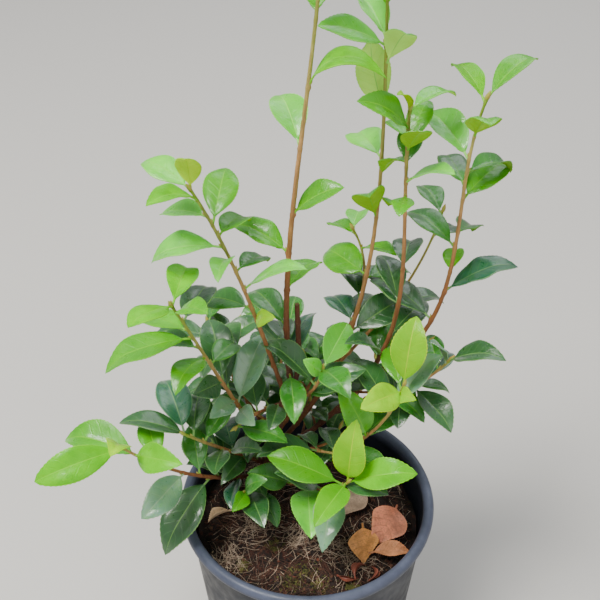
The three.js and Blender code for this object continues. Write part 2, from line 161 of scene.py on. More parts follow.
# Limbs. Each row: parent, share of it where the limb starts, two bends, tip, radius at foot and tip,
# share where its foliage begins, how woody its foot is, from 0 to 1, and how fast that fades to the tip.
limbFields = ("parent", "at", "lowBend", "highBend", "tip", "footGirth", "tipGirth", "enters",
              "woody", "fade")
limbRows = {
    "centre": ("trunk", 1, (-24, 24, 405), (3, 25, 522), (8, 25, 640), 2.3, 0.9, 0, 0.95, 1.3),
    "tallRight": ("trunk", 0.36, (66, 72, 290), (48, 52, 461), (46, 55, 592), 2.1, 0.9, 0.31, 0.9, 1.3),
    "innerRight": ("trunk", 0.28, (97, 42, 300), (61, 34, 368), (61, 25, 515), 2.3, 1.0, 0.4, 1.0, 0.6),
    "outerRight": ("innerRight", 0.3, (126, 39, 332), (89, 33, 445), (107, 25, 522), 1.9, 0.9,
                   0.24, 0.9, 0.9),
    "left": ("trunk", 0.84, (-31, 16, 340), (-51, 19, 414), (-72, -10, 480), 1.8, 0.9, 0.34, 0.9, 1.3),
    "farLeft": ("trunk", 0.42, (-57, 19, 272), (-71, 1, 335), (-89, -18, 396), 1.8, 0.9, 0.28, 0.9, 1.3),
    "lowLeft": ("trunk", 0.18, (-54, 6, 200), (-92, -28, 235), (-128, -52, 300), 1.9, 0.9, 0.34, 1.0, 0.45),
    "lowFront": ("trunk", 0.16, (-15, 10, 192), (15, -22, 213), (29, -35, 245), 1.8, 0.9, 0.3, 0.9, 0.8),
    "midRight": ("trunk", 0.2, (0, 16, 208), (55, -6, 246), (68, -4, 312), 1.8, 0.9, 0.56, 0.95, 0.8),
    "lowRight": ("innerRight", 0.17, (50, 35, 258), (80, 25, 275), (104, 25, 310), 1.7, 0.9, 0.6, 1.0, 0.6),
    "backRight": ("trunk", 0.46, (5, 68, 262), (75, 84, 292), (97, 80, 405), 1.8, 0.8, 0.5, 0.75, 0.8),
    "backCentre": ("trunk", 0.6, (25, 70, 280), (60, 80, 335), (33, 76, 392), 1.6, 0.8, 0.45, 0.75, 0.8),
    "sideLeft": ("trunk", 0.26, (-50, 20, 215), (-72, 0, 245), (-90, -14, 273), 1.8, 0.9, 0.4, 0.95, 0.9),
    "heartLeft": ("trunk", 0.8, (-28, 24, 266), (-40, 12, 268), (-53, 6, 261), 1.6, 0.9, 0, 0.95, 0.6),
    "heartRight": ("trunk", 0.8, (-6, 16, 284), (6, 6, 290), (10, 4, 320), 1.6, 0.9, 0, 0.95, 0.6),
    "footFront": ("trunk", 0.12, (-40, 10, 190), (-46, -5, 200), (-48, -14, 210), 1.7, 0.9, 0, 0.9, 0.9),
    "heartLow": ("trunk", 0.48, (-12, 16, 232), (4, 6, 234), (20, -2, 240), 1.6, 0.9, 0, 0.95, 0.6),
    "backLeft": ("trunk", 0.5, (-50, 55, 240), (-68, 72, 268), (-78, 80, 300), 1.8, 0.9, 0.36, 0.9, 0.7),
    "backLow": ("trunk", 0.38, (-34, 62, 226), (-22, 96, 236), (-16, 110, 264), 1.7, 0.9, 0.36, 0.9, 0.7),
    "backLowRight": ("trunk", 0.26, (-6, 56, 204), (44, 80, 214), (66, 92, 252), 1.7, 0.9, 0.44, 0.9, 0.7),
}
limbs = {name: dict(zip(limbFields, row)) for name, row in limbRows.items()}
stub = dict(zip(limbFields, ("trunk", 0.95, (-4, 27, 290), (-7, 27, 320), (-8, 27, 362), 2.1, 1.8)))

# Leaves set one by one: share, heading, rise above level, length, tone and on some roll and extra arch.
# They are the source's own, but one leaf of tallRight is turned over here to show its pale underside.
leafRows = {
    "centre": [
        (0.02, 275, -5, 46, "mid", 5), (0.045, 70, 20, 52, "teal", -25), (0.09, 105, -5, 44, "dark"),
        (0.15, 125, 5, 50, "mid"), (0.25, 55, 0, 42, "bright"), (0.34, 150, 15, 46, "bright"),
        (0.43, 350, 40, 42, "bright", 30), (0.57, 105, 20, 50, "light"), (0.69, 350, 20, 48, "lime", 5, 0.22),
        (0.81, 90, 15, 50, "bright"), (0.87, 250, 40, 46, "bright"), (0.94, 10, 35, 42, "lime"),
        (0.98, 130, 45, 38, "young"), (1, 290, 70, 26, "young"),
    ],
    "tallRight": [
        (0.33, 30, 5, 50, "dark", 20), (0.35, 100, -5, 46, "teal"), (0.46, 125, -5, 52, "bright", -20),
        (0.58, 250, 55, 46, "bright", 20), (0.69, 110, -5, 50, "light"), (0.77, 180, 75, 52, "light", 95),
        (0.85, 290, 50, 44, "light", -20), (0.88, 195, 25, 48, "light", -30), (0.89, 110, 15, 46, "light"),
        (0.93, 95, 30, 52, "lime"), (0.96, 15, 30, 44, "bright"), (0.99, 215, 40, 38, "young"),
        (1, 60, 70, 26, "young"),
    ],
    "innerRight": [
        (0.45, 50, 5, 50, "dark"), (0.55, 100, 15, 50, "dark"), (0.66, 75, -5, 46, "dark"),
        (0.8, 115, -20, 40, "bright"), (0.84, 260, 15, 30, "bright"), (0.87, 315, 35, 42, "light"),
        (0.91, 115, -35, 36, "bright"), (0.93, 285, 50, 36, "bright"), (0.95, 100, -10, 40, "light"),
        (0.97, 210, 40, 46, "bright", -50), (1, 40, 0, 40, "light"), (1, 230, 55, 20, "gold"),
    ],
    "outerRight": [
        (0.29, 135, 10, 60, "dark"), (0.4, 5, 25, 54, "teal"), (0.47, 75, -5, 36, "lime"),
        (0.55, 130, 10, 48, "mid"), (0.6, 60, -25, 42, "mid"), (0.7, 45, 15, 48, "bright"),
        (0.74, 105, 5, 42, "mid"), (0.78, 35, -10, 42, "mid"), (0.82, 115, 15, 52, "light"),
        (0.89, 275, 45, 42, "bright"), (0.99, 110, 10, 46, "lime"), (1, 45, 15, 52, "bright"),
    ],
    "left": [
        (0.4, 300, 50, 26, "young", 60), (0.45, 145, -15, 48, "mid"), (0.54, 350, 35, 50, "light"),
        (0.62, 60, -15, 40, "mid"), (0.67, 260, 20, 36, "light"), (0.73, 170, -15, 54, "light"),
        (0.78, 65, -10, 40, "bright"), (0.83, 80, 20, 50, "bright"), (0.87, 145, -15, 40, "light"),
        (0.95, 230, 25, 46, "lime"), (1, 140, 10, 42, "light"), (1, 260, 70, 32, "young"),
    ],
    "farLeft": [
        (0.3, 290, 25, 34, "glaucous", 25), (0.33, 60, 45, 57, "glaucous"),
        (0.36, 245, 35, 36, "glaucous", -40), (0.42, 85, 10, 52, "dark"), (0.48, 105, 25, 56, "dark"),
        (0.5, 240, 25, 36, "dark", -50), (0.62, 65, -10, 40, "mid"), (0.67, 245, 10, 44, "bright"),
        (0.73, 145, -20, 48, "mid"), (0.8, 200, -5, 63, "bright"), (0.84, 145, -20, 44, "bright"),
        (0.9, 70, 0, 48, "dark"), (0.95, 310, 35, 40, "bright"), (1, 240, 20, 44, "lime"),
        (1, 80, 5, 44, "lime"),
    ],
    "lowLeft": [
        (0.42, 120, 0, 60, "dark", -20), (0.49, 235, -25, 66, "dark", -15),
        (0.66, 240, 5, 50, "glaucous", -40), (0.93, 318, 30, 52, "lime", 42),
        (0.9, 160, 5, 60, "bright", -15), (0.99, 205, 0, 62, "lime", -28), (1, 270, 45, 34, "young", -20),
    ],
    "lowFront": [
        (0.33, 205, 40, 46, "mid", -30), (0.52, 270, 10, 56, "light"), (0.66, 195, 40, 44, "dark", -20),
        (0.8, 260, -5, 52, "glaucous"), (0.93, 170, 20, 60, "bright"), (0.9, 332, 15, 38, "dark", 15),
        (0.97, 245, 10, 50, "lime", -20), (0.99, 345, 28, 54, "lime", 15), (1, 60, 75, 52, "gold", 10),
    ],
    "midRight": [
        (0.64, 45, 0, 50, "mid", 10), (0.67, 165, 68, 50, "bright", -45), (0.85, 125, 25, 50, "dark"),
        (0.9, 35, 40, 49, "glaucous"), (0.95, 290, 40, 26, "young", 40), (0.97, 240, 10, 46, "young", -25),
        (0.97, 95, 10, 46, "bright", -10), (1, 70, 70, 52, "gold", 10),
    ],
    "lowRight": [
        (0.68, 305, -10, 46, "dark"), (0.8, 60, -5, 44, "teal"), (0.9, 95, 10, 36, "mid"),
        (0.97, 205, 65, 30, "glaucous"), (1, 325, 35, 48, "dark"),
    ],
    "backRight": [
        (0.58, 60, -5, 48, "dark"), (0.66, 20, 0, 50, "dark"), (0.75, 160, 10, 46, "dark"),
        (0.93, 50, -15, 40, "dark"), (0.99, 105, 5, 40, "mid"),
    ],
    "backCentre": [
        (0.52, 60, -5, 46, "dark"), (0.62, 100, 5, 48, "dark"), (0.73, 30, 0, 46, "mid"),
        (0.9, 285, 20, 36, "bright"), (0.97, 125, -15, 36, "bright"), (1, 80, -10, 36, "light"),
    ],
    "sideLeft": [
        (0.43, 105, -10, 50, "teal", -10), (0.48, 325, 35, 38, "dark", 20), (0.66, 120, 20, 50, "dark"),
        (0.9, 90, -5, 48, "dark"), (0.96, 175, 15, 51, "dark"), (1, 110, 5, 60, "teal"),
    ],
    "heartLeft": [(0.16, 260, 10, 32, "dark", -15), (0.35, 125, 5, 46, "dark")],
    "heartRight": [
        (0.5, 0, 45, 50, "dark", 20), (0.45, 325, 25, 36, "mid", 30), (0.95, 215, 55, 26, "light", -60),
        (1, 65, 15, 46, "light", 20),
    ],
    "footFront": [
        (0.6, 300, 0, 42, "dark", -10), (0.72, 285, 5, 46, "dark", 10), (0.95, 315, 55, 34, "mid", 60),
        (1, 255, 25, 26, "bright", -25),
    ],
    "heartLow": [(0.75, 115, -30, 34, "dark"), (1, 100, -10, 36, "dark", 20)],
}
# Leaves set by rule: how many, share and heading of the first
leafRules = {
    "heartLeft": (3, 0.6, 100), "heartRight": (3, 0.5, 20), "heartLow": (3, 0.5, 60),
    "backLeft": (9, 0.42, 60), "backLow": (8, 0.42, 200), "backLowRight": (7, 0.5, 330),
}
# Single leaves on stretches that the part's source leaves bare, with rows as above
fineLeaves = {
    "sideLeft": [
        (0.12, 232, 38, 44, "dark"), (0.3, 246, 15, 38, "dark", -20), (0.56, 263, 20, 38, "dark", 15),
        (0.78, 40, 20, 40, "mid"),
    ],
    "lowLeft": [
        (0.18, 293, 20, 34, "dark"), (0.26, 262, 10, 36, "teal", 20), (0.36, 225, 45, 40, "dark"),
        (0.36, 100, 20, 42, "dark"), (0.56, 60, 30, 42, "mid"), (0.8, 110, 20, 44, "bright"),
    ],
    "innerRight": [(0.38, 216, 45, 42, "dark"), (0.9, 108, 12, 34, "mid"), (0.94, 60, 35, 36, "bright")],
}

routes, lengths, girths = {}, {}, {}


def tapered(foot, tip, flare=0, fadeShare=1):
    return lambda share: foot + (tip - foot) * share + flare * math.exp(-share / fadeShare)


def setRoute(name, points, girth):
    routes[name] = [Vector(point) for point in points]
    lengths[name] = routeLength(routes[name])
    girths[name] = tapered(*girth)


setRoute("trunk", trunk["route"], trunk["girth"])
for name, limb in [*limbs.items(), ("stub", stub)]:
    points = [routePoint(routes[limb["parent"]], limb["at"]), limb["lowBend"], limb["highBend"], limb["tip"]]
    setRoute(name, points, (limb["footGirth"], limb["tipGirth"]))


# The plant's own seeded numbers, drawn in the order of the part's source, so that the same leaves grow
class SeededDraw:
    def __init__(self, seed):
        self.value = seed

    def between(self, low, high):
        self.value = (self.value * 1664525 + 1013904223) % 4294967296
        return low + (high - low) * self.value / 4294967296


draw = SeededDraw(41)
growth = {
    "goldenTurn": 137.5, "petiole": 0.12, "petioleGirth": 1.0, "thickness": 1.1,
    "tiers": [0, 0.12, 0.42, 0.74, 1], "stemSides": 6, "stemStep": 24,
    "rise": (-8, 30), "wide": (0.46, 0.54), "arch": (0.05, 0.12), "fold": (0.2, 0.55), "roll": (-12, 12),
}
# Ways that a leaf may turn aside and up to stand clear, tried in this order
turns = [(0, 0), (0, 10), (0, -10), (14, 0), (-14, 0), (14, 10), (-14, 10), (0, 20), (28, 0), (-28, 0),
         (28, 12), (-28, 12), (42, 0), (-42, 0), (0, 32)]


def leavesOf(rows, rule=(0, 0, 0), long=(40, 54)):
    rows = list(rows)
    count, first, turn = rule
    for i in range(count):
        step = i / (count - 1)
        rise = draw.between(*growth["rise"])
        length = draw.between(*long)
        heading = (turn + i * growth["goldenTurn"]) % 360
        rows.append((first + (1 - first) * step, heading, rise, length, "mid" if step > 0.8 else "dark"))
    leaves = []
    for share, heading, rise, length, tone, *turned in rows:
        roll, arch = (*turned, 0, 0)[:2]
        leaf = {"share": share, "heading": heading, "rise": rise, "length": length, "tone": tone}
        leaf["width"] = length * draw.between(*growth["wide"])
        leaf["arch"] = arch + draw.between(*growth["arch"])
        leaf["fold"] = draw.between(*growth["fold"])
        leaf["roll"] = roll + draw.between(*growth["roll"])
        leaves.append(leaf)
    return leaves


def bladeWidth(share):
    blade = max(share - growth["petiole"], 0) / (1 - growth["petiole"])
    return max(math.sin(math.pi * min(blade, 1) ** 0.88), 0) ** 0.8


def pointing(heading, rise):
    turn, lift = math.radians(heading), math.radians(rise)
    return Vector((math.cos(lift) * math.cos(turn), math.cos(lift) * math.sin(turn), math.sin(lift)))


def leafMatrix(leaf):
    turn = math.radians(leaf["heading"])
    forward = pointing(leaf["heading"], leaf["rise"])
    side = Vector((math.sin(turn), -math.cos(turn), 0))
    axes = Matrix((side, forward, side.cross(forward))).transposed().to_4x4()
    roll = Matrix.Rotation(math.radians(leaf["roll"]), 4, "Y")
    return Matrix.Translation(leaf["foot"]) @ axes @ roll


# An upright tube with closed ends, cut into tiers
def tube(sides, cuts):
    shape = bmesh.new()
    bmesh.ops.create_cone(shape, cap_ends=True, segments=sides, radius1=1, radius2=1, depth=1)
    upright = [edge for edge in shape.edges if abs(edge.verts[0].co.z - edge.verts[1].co.z) > 0.5]
    bmesh.ops.subdivide_edges(shape, edges=upright, cuts=cuts)
    return shape


# A round stem that follows a route between two shares of its length
def stemShape(route, girthAt, sides, steps, first, last, ageAt=None):
    shape = tube(sides, steps - 1)
    ages = shape.verts.layers.float.new("age") if ageAt else None
    for vert in shape.verts:
        share = first + (last - first) * (vert.co.z + 0.5)
        turn = up.rotation_difference(routeTangent(route, min(max(share, 0), 1)))
        out = Vector((vert.co.x, vert.co.y, 0))
        if ageAt:
            vert[ages] = ageAt(share)
        vert.co = turn @ (out * girthAt(share, vert.co)) + routePoint(route, share)
    return shape


# The coarse leaf of the part's source, used only to find which way each leaf is free to turn
def coarseLeaf(leaf, start=0.0):
    tiers = growth["tiers"]
    shape = tube(4, len(tiers) - 2)
    matrix = leafMatrix(leaf)
    for vert in shape.verts:
        share = max(tiers[round((vert.co.z + 0.5) * (len(tiers) - 1))], start)
        side = round(vert.co.x)
        face = round(vert.co.y)
        stalk = share < growth["petiole"] + 0.01
        wide = 0 if share == 1 else max(growth["petioleGirth"], leaf["width"] / 2 * bladeWidth(share))
        thick = 0 if share == 1 else (growth["petioleGirth"] if stalk else growth["thickness"] / 2)
        lift = 0 if stalk else wide * math.sin(leaf["fold"])
        reach = wide if stalk else wide * math.cos(leaf["fold"])
        arch = leaf["length"] * leaf["arch"] * 4 * share * (1 - share)
        height = arch + abs(side) * lift + face * thick
        vert.co = matrix @ Vector((side * reach, leaf["length"] * share, height))
    bmesh.ops.remove_doubles(shape, verts=shape.verts, dist=1e-5)
    return standingShape(shape)


# The lowest and highest corner of a shape, and its faces for the search of overlaps
def standingShape(shape):
    places = [vert.co for vert in shape.verts]
    low = Vector([min(place[k] for place in places) for k in range(3)])
    high = Vector([max(place[k] for place in places) for k in range(3)])
    tree = BVHTree.FromBMesh(shape)
    shape.free()
    return low, high, tree


def meets(one, other):
    if any(one[0][k] > other[1][k] or other[0][k] > one[1][k] for k in range(3)):
        return False
    return bool(one[2].overlap(other[2]))


# What a leaf has to keep clear of is listed as its limb's name, its shape, and its shape without the stalk.
# Trunk, boughs, stub, pot and mix are there from the start.
def frameSolids():
    solids = []
    for name, node in frame["nodes"].items():
        if not name.startswith(("foliage", "fallen")):
            shape = bmesh.new()
            shape.from_mesh(node.data)
            bmesh.ops.scale(shape, vec=(1 / mm,) * 3, verts=shape.verts)
            solid = standingShape(shape)
            owner = {"pruned_stub": "stub"}.get(name, name.replace("bough_", ""))
            solids.append((owner, solid, solid))
    return solids


def stemSolid(name, enters):
    first = enters + gap / lengths[name] if enters > 0 else 0
    steps = max(3, math.ceil(lengths[name] * (1 - first) / growth["stemStep"]))
    plain = lambda share, _: girths[name](share)
    solid = standingShape(stemShape(routes[name], plain, growth["stemSides"], steps, first, 1))
    return name, solid, solid


def growOn(name, leaves):
    for leaf in leaves:
        leaf["foot"] = routePoint(routes[name], leaf["share"])
        leaf["limb"] = name
        for aside, lift in turns:
            turned = {**leaf, "heading": leaf["heading"] + aside, "rise": leaf["rise"] + lift}
            shape = coarseLeaf(turned)
            blade = coarseLeaf(turned, growth["petiole"])
            if not any(meets(blade, own) if owner == name else meets(shape, whole)
                       for owner, whole, own in standing):
                standing.append((name, shape, blade))
                grownLeaves.append(turned)
                break


standing = frameSolids() + [stemSolid(name, limb["enters"]) for name, limb in limbs.items()]
grownLeaves = []
for name in limbs:
    growOn(name, leavesOf(leafRows.get(name, []), leafRules.get(name, (0, 0, 0))))
print("leaves grown:", len(grownLeaves))
for name, rows in fineLeaves.items():
    growOn(name, leavesOf(rows))

# Finer side twigs fill the heart and the back of the crown, with leaves set by one rule.
# Each row: share of the limb where the twig starts, heading, rise.
twigForm = {
    "length": (22, 34), "bow": 0.12, "girth": (1.1, 0.7), "age": {"woody": 0.85, "fade": 0.8},
    "leafLong": (28, 42), "leaves": 3, "firstLeaf": 0.45, "leafTurn": 60,
}
twigRows = {
    "backLeft": [(0.3, 120, 20), (0.55, 210, 10), (0.75, 60, 25)],
    "backLow": [(0.3, 100, 15), (0.55, 30, 20), (0.75, 160, 25)],
    "backLowRight": [(0.3, 80, 15), (0.55, 10, 20), (0.75, 110, 30)],
    "tallRight": [(0.1, 70, 20), (0.2, 130, 25)],
    "backCentre": [(0.25, 110, 10)],
    "backRight": [(0.25, 120, 10), (0.42, 60, 15)],
    "innerRight": [(0.12, 100, 10), (0.25, 350, 15)],
    "outerRight": [(0.1, 30, 10)],
    "left": [(0.15, 150, 10)],
    "farLeft": [(0.12, 130, 10)],
    "sideLeft": [(0.3, 100, 20)],
    "heartLow": [(0.6, 20, 10)],
    "trunk": [(0.62, 160, 20), (0.72, 60, 15)],
    "midRight": [(0.4, 60, 20)],
    "lowRight": [(0.35, 20, 15), (0.5, 110, 20)],
    "lowFront": [(0.25, 30, 10)],
}


def growTwig(name, parent, share, heading, rise):
    foot = routePoint(routes[parent], share)
    reach = pointing(heading, rise) * draw.between(*twigForm["length"])
    bow = up * reach.length * twigForm["bow"]
    setRoute(name, [foot, foot + reach / 3 - bow, foot + reach * 0.7 - bow, foot + reach], twigForm["girth"])
    twig = stemSolid(name, 0)
    others = [whole for owner, whole, own in standing if not (owner == parent and whole is own)]
    if any(meets(twig[1], whole) for whole in others):
        return
    rule = (twigForm["leaves"], twigForm["firstLeaf"], heading + twigForm["leafTurn"])
    before = len(grownLeaves)
    standing.append(twig)
    growOn(name, leavesOf([], rule, twigForm["leafLong"]))
    if len(grownLeaves) > before:
        twigs[name] = twigForm["age"]
    else:
        standing.pop()


twigs = {}
places = [(parent, *row) for parent, rows in twigRows.items() for row in rows]
for index, place in enumerate(places):
    growTwig(f"twig{index}", *place)
print("with fine twigs:", len(grownLeaves), "on", len(twigs))


# From a finished shape to a mesh, and from that to a linked object

def meshOf(name, shape):
    mesh = bpy.data.meshes.new(name)
    shape.to_mesh(mesh)
    shape.free()
    return mesh


def linked(name, data):
    made = bpy.data.objects.new(name, data)
    bpy.context.scene.collection.objects.link(made)
    return made


# Joins a part to a growing shape and gives back the part's own points
def addPart(whole, part):
    count = len(whole.verts)
    whole.from_mesh(part)
    whole.verts.ensure_lookup_table()
    return whole.verts[count:]


def addShape(whole, shape):
    part = meshOf("part", shape)
    addPart(whole, part)
    bpy.data.meshes.remove(part)


def toMetres(shape):
    bmesh.ops.scale(shape, vec=(mm,) * 3, verts=shape.verts)


def finishPiece(name, shape, finishes, replaced=(), crease=40):
    toMetres(shape)
    mesh = meshOf(name, shape)
    mesh.polygons.foreach_set("use_smooth", [True] * len(mesh.polygons))
    mesh.set_sharp_from_angle(angle=math.radians(crease))
    for finish in finishes:
        mesh.materials.append(finish)
    piece = linked(name, mesh)
    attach(piece, "root")
    if replaced:
        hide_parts(*replaced)
    print(name, "faces:", len(mesh.polygons))
    return piece


def smooth(value, low, high):
    step = min(max((value - low) / (high - low), 0), 1)
    return step * step * (3 - 2 * step)


# Leaf: one thin closed blade with its stalk, midrib, veins and fine teeth, shaped anew for each leaf

leafForm = {
    "across": [-1, -0.955, -0.62, -0.24, -0.03, 0.03, 0.24, 0.62, 0.955, 1],
    "stalkRows": 3, "bladeRows": 36, "thickness": 0.45, "stalkGirth": 0.85,
    "ribHalf": 0.06, "ribDepth": 0.55, "tooth": 0.24, "curlFrom": 0.7,
    "veins": 7, "veinStretch": 1.14, "veinLean": 3.0, "quilt": 0.2,
}


# The flat master: midrib, margin and stalk take the second finish, and the underside takes the third
def flatLeaf():
    across = leafForm["across"]
    columns = len(across) - 1
    stalkRows, rows = leafForm["stalkRows"], leafForm["stalkRows"] + leafForm["bladeRows"]
    stalk = growth["petiole"]
    shape = bmesh.new()
    bmesh.ops.create_grid(shape, x_segments=columns, y_segments=rows, size=1)
    for vert in shape.verts:
        row = round((vert.co.y + 1) / 2 * rows)
        if row <= stalkRows:
            share = stalk * row / stalkRows
        else:
            share = stalk + (1 - stalk) * (row - stalkRows) / leafForm["bladeRows"]
        vert.co = (across[round((vert.co.x + 1) / 2 * columns)], share, 0)
    flat = shape.loops.layers.uv.new("leaf")
    for face in shape.faces:
        for loop in face.loops:
            loop[flat].uv = ((loop.vert.co.x + 1) / 2, loop.vert.co.y)
    grown = bmesh.ops.extrude_face_region(shape, geom=shape.faces[:])["geom"]
    raised = [part for part in grown if isinstance(part, bmesh.types.BMVert)]
    bmesh.ops.translate(shape, vec=(0, 0, 1), verts=raised)
    bmesh.ops.recalc_face_normals(shape, faces=shape.faces[:])
    for face in shape.faces:
        middle = face.calc_center_median()
        rib = abs(middle.x) < 0.02 or middle.y < stalk
        margin = abs(middle.x) > 0.95 and middle.z > 0.5
        face.material_index = 1 if rib or margin else (2 if middle.z < 0.5 else 0)
    return meshOf("flatLeaf", shape)


def shapeLeaf(points, leaf, habit):
    matrix = leafMatrix(leaf)
    length, form = leaf["length"], leafForm
    rows = {}
    for index, share in enumerate(sorted({round(point.co.y, 5) for point in points})):
        inner = max(share - growth["petiole"], 0) / (1 - growth["petiole"])
        bulge = max(math.sin(math.pi * min(inner, 1) ** habit["widest"]), 0)
        half = leaf["width"] / 2 * bulge ** habit["blunt"]
        arch = length * leaf["arch"] * 4 * share * (1 - share)
        arch -= length * habit["curl"] * max(share - form["curlFrom"], 0) ** 2
        stalk = 1 - smooth(share, 0.1, 0.2)
        rows[share] = (index, inner, max(half, form["stalkGirth"] * max(stalk, 0.12)), arch, stalk)
    for point in points:
        across, share, top = point.co.x, round(point.co.y, 5), point.co.z > 0.5
        index, inner, half, arch, stalk = rows[share]
        out = abs(across)
        blade = 1 - stalk
        fold = leaf["fold"] * blade
        reach = across * half * math.cos(fold * out)
        height = arch + half * math.sin(fold) * out ** 1.15
        height -= half * habit["lip"] * out ** 5 * blade
        swing = math.sin(habit["waves"] * inner * math.tau + habit["phase"] * (across > 0))
        height += half * habit["wave"] * swing * out ** 2 * blade
        if out > form["ribHalf"]:
            ridge = math.sin(math.tau * (form["veins"] * inner - 1.5 * out))
            height += form["quilt"] * ridge * (1 - out ** 3) * blade
        skin = form["thickness"] / 2 * blade + stalk * form["stalkGirth"] * math.sqrt(max(1 - out * out, 0))
        if not top:
            skin = -skin - (form["ribDepth"] * (1 - inner) * blade if out < form["ribHalf"] else 0)
        along = length * share
        if out > 0.99 and 0.02 < inner < 0.98:
            tooth = form["tooth"] * (1 if index % 2 else -0.6)
            reach += tooth * (1 if across > 0 else -1)
            along += form["tooth"] * (index % 2)
        bend = habit["sway"] * length * inner ** 2
        point.co = matrix @ Vector((reach + bend, along, height + skin))


leafMaster = flatLeaf()
looksDraw = random.Random(11)
# How leaves differ: curl of the tip, lip and waves of the margin, sway, and where and how wide they swell
habitRange = {
    "curl": (0.3, 1.6), "lip": (0.06, 0.26), "wave": (0.01, 0.07), "waves": (1.2, 2.6), "phase": (0.5, 3.0),
    "sway": (-0.05, 0.05), "widest": (0.86, 1.12), "blunt": (0.66, 0.84),
}
# Leaves near the tips that are slimmer than the rest, by limb and share
slimLeaves = {
    ("lowLeft", 0.99): 0.74, ("lowLeft", 0.93): 0.88, ("outerRight", 1): 0.78, ("outerRight", 0.99): 0.85,
    ("left", 0.95): 0.8, ("farLeft", 0.8): 0.9,
}

leafTones = {
    "young": {"top": (158, 212, 0), "rib": (172, 212, 10), "under": (190, 222, 30), "shine": 0.1},
    "gold": {"top": (144, 206, 0), "rib": (164, 200, 10), "under": (170, 200, 0), "shine": 0.1},
    "lime": {"top": (108, 192, 0), "rib": (122, 202, 10), "under": (130, 176, 0), "shine": 0.12},
    "bright": {"top": (90, 174, 8), "rib": (112, 186, 30), "under": (136, 186, 16), "shine": 0.4},
    "light": {"top": (112, 208, 50), "rib": (140, 216, 84), "under": (190, 238, 104), "shine": 0.5},
    "mid": {"top": (54, 134, 24), "rib": (108, 168, 60), "under": (108, 152, 30), "shine": 0.65},
    "dark": {"top": (50, 104, 44), "rib": (112, 156, 82), "under": (104, 148, 70), "shine": 0.75},
    "teal": {"top": (40, 110, 66), "rib": (112, 152, 100), "under": (98, 140, 84), "shine": 0.75},
    # This tone is dark leaf green painted paler and blue grey on top: a painted reflection of the sky on
    # glossy leaves
    "glaucous": {"top": (120, 164, 114), "rib": (142, 172, 132), "under": (118, 150, 108), "shine": 0.75},
}
leafDepth = {"Subsurface_Weight": 0.5, "Subsurface_Scale": 0.0012, "Subsurface_Radius": (0.7, 1.0, 0.15)}


# Side veins run forward from the midrib to the margin; the mask is 1 on a vein
def veinMask(look):
    flat = look.node("UVMap", uv_map="leaf")
    across, along = look.node("SeparateXYZ", {0: flat}).node.outputs[:2]
    out = look.maths("ABSOLUTE", look.maths("SUBTRACT", across, 0.5))
    rise = look.maths("MULTIPLY", along, leafForm["veins"] * leafForm["veinStretch"])
    lean = look.maths("MULTIPLY_ADD", out, -leafForm["veinLean"], rise)
    wander = look.maths("MULTIPLY_ADD", look.grain(7.0, place=flat), 0.35, lean)
    return look.spread(look.maths("PINGPONG", wander, 0.5), 0.02, 0.09, 1.0, 0.0), flat, out


def leafTopFinish(name, tone):
    shine = tone["shine"]
    look = Finish(name, Specular_IOR_Level=shine, Coat_Weight=shine * 0.6, Coat_Roughness=0.12, **leafDepth)
    base = linear(tone["top"])
    cool = (base[0] * 0.62, base[1] * 0.76, base[2] * 0.95, 1)
    shade = look.node("Attribute", output="Fac", attribute_name="shade")
    aged = look.mix(shade, shaded(base, 0.78), shaded(base, 1.3))
    mottled = look.mix(look.patches(55.0, 0.32, 0.68, 3.0), cool, aged)
    vein, flat, out = veinMask(look)
    edged = look.mix(look.spread(out, 0.12, 0.46, 0.0, 0.45), mottled, cool)
    colour = look.mix(look.maths("MULTIPLY", vein, 0.13), edged, tone["rib"])
    cells = look.node("TexVoronoi", {"Vector": flat, "Scale": 34.0}, "Distance", feature="DISTANCE_TO_EDGE")
    net = look.relief(look.spread(cells, 0.0, 0.12), 0.10, 0.0003)
    veins = look.relief(vein, 0.22, -0.0006, Normal=net)
    dull = look.patches(240.0, 0.3, 0.7, 2.0, 0.55, 0.26, 0.42)
    return look.wear(Base_Color=colour, Normal=veins, Roughness=dull)


def leafRibFinish(name, tone):
    look = Finish(name, Roughness=0.42, Specular_IOR_Level=0.3)
    base = linear(tone["rib"])
    return look.wear(Base_Color=look.mix(look.grain(120.0), shaded(base, 0.8), shaded(base, 1.1)))


def leafUnderFinish(name, tone):
    look = Finish(name, Roughness=0.6, Specular_IOR_Level=0.2, **leafDepth)
    base = linear(tone["under"])
    colour = look.mix(look.grain(70.0), shaded(base, 0.82), shaded(base, 1.12))
    return look.wear(Base_Color=colour, Normal=look.relief(veinMask(look)[0], 0.45, 0.0006))


def newLeafShape():
    shape = bmesh.new()
    shape.loops.layers.uv.new("leaf")
    return shape


# All leaves of one tone make one piece
def leafPiece(toneName, tone):
    members = [leaf for leaf in grownLeaves if leaf["tone"] == toneName]
    shape = newLeafShape()
    shade = shape.verts.layers.float.new("shade")
    for leaf in members:
        leaf["width"] *= slimLeaves.get((leaf["limb"], leaf["share"]), 1)
        points = addPart(shape, leafMaster)
        shapeLeaf(points, leaf, {key: looksDraw.uniform(*reach) for key, reach in habitRange.items()})
        shadeOf = looksDraw.random()
        for point in points:
            point[shade] = shadeOf
    word = toneName.capitalize()
    finishes = [leafTopFinish("leafTop" + word, tone), leafRibFinish("leafRib" + word, tone),
                leafUnderFinish("leafUnder" + word, tone)]
    masses = sorted({"foliage_" + leaf["limb"] for leaf in members if leaf["limb"] in limbs})
    finishPiece("leaves" + word, shape, finishes, masses)


for toneName, tone in leafTones.items():
    leafPiece(toneName, tone)
print("leaves set")

# Bark and stems: green at the young tips, then tan and orange brown, and dark red brown on old wood

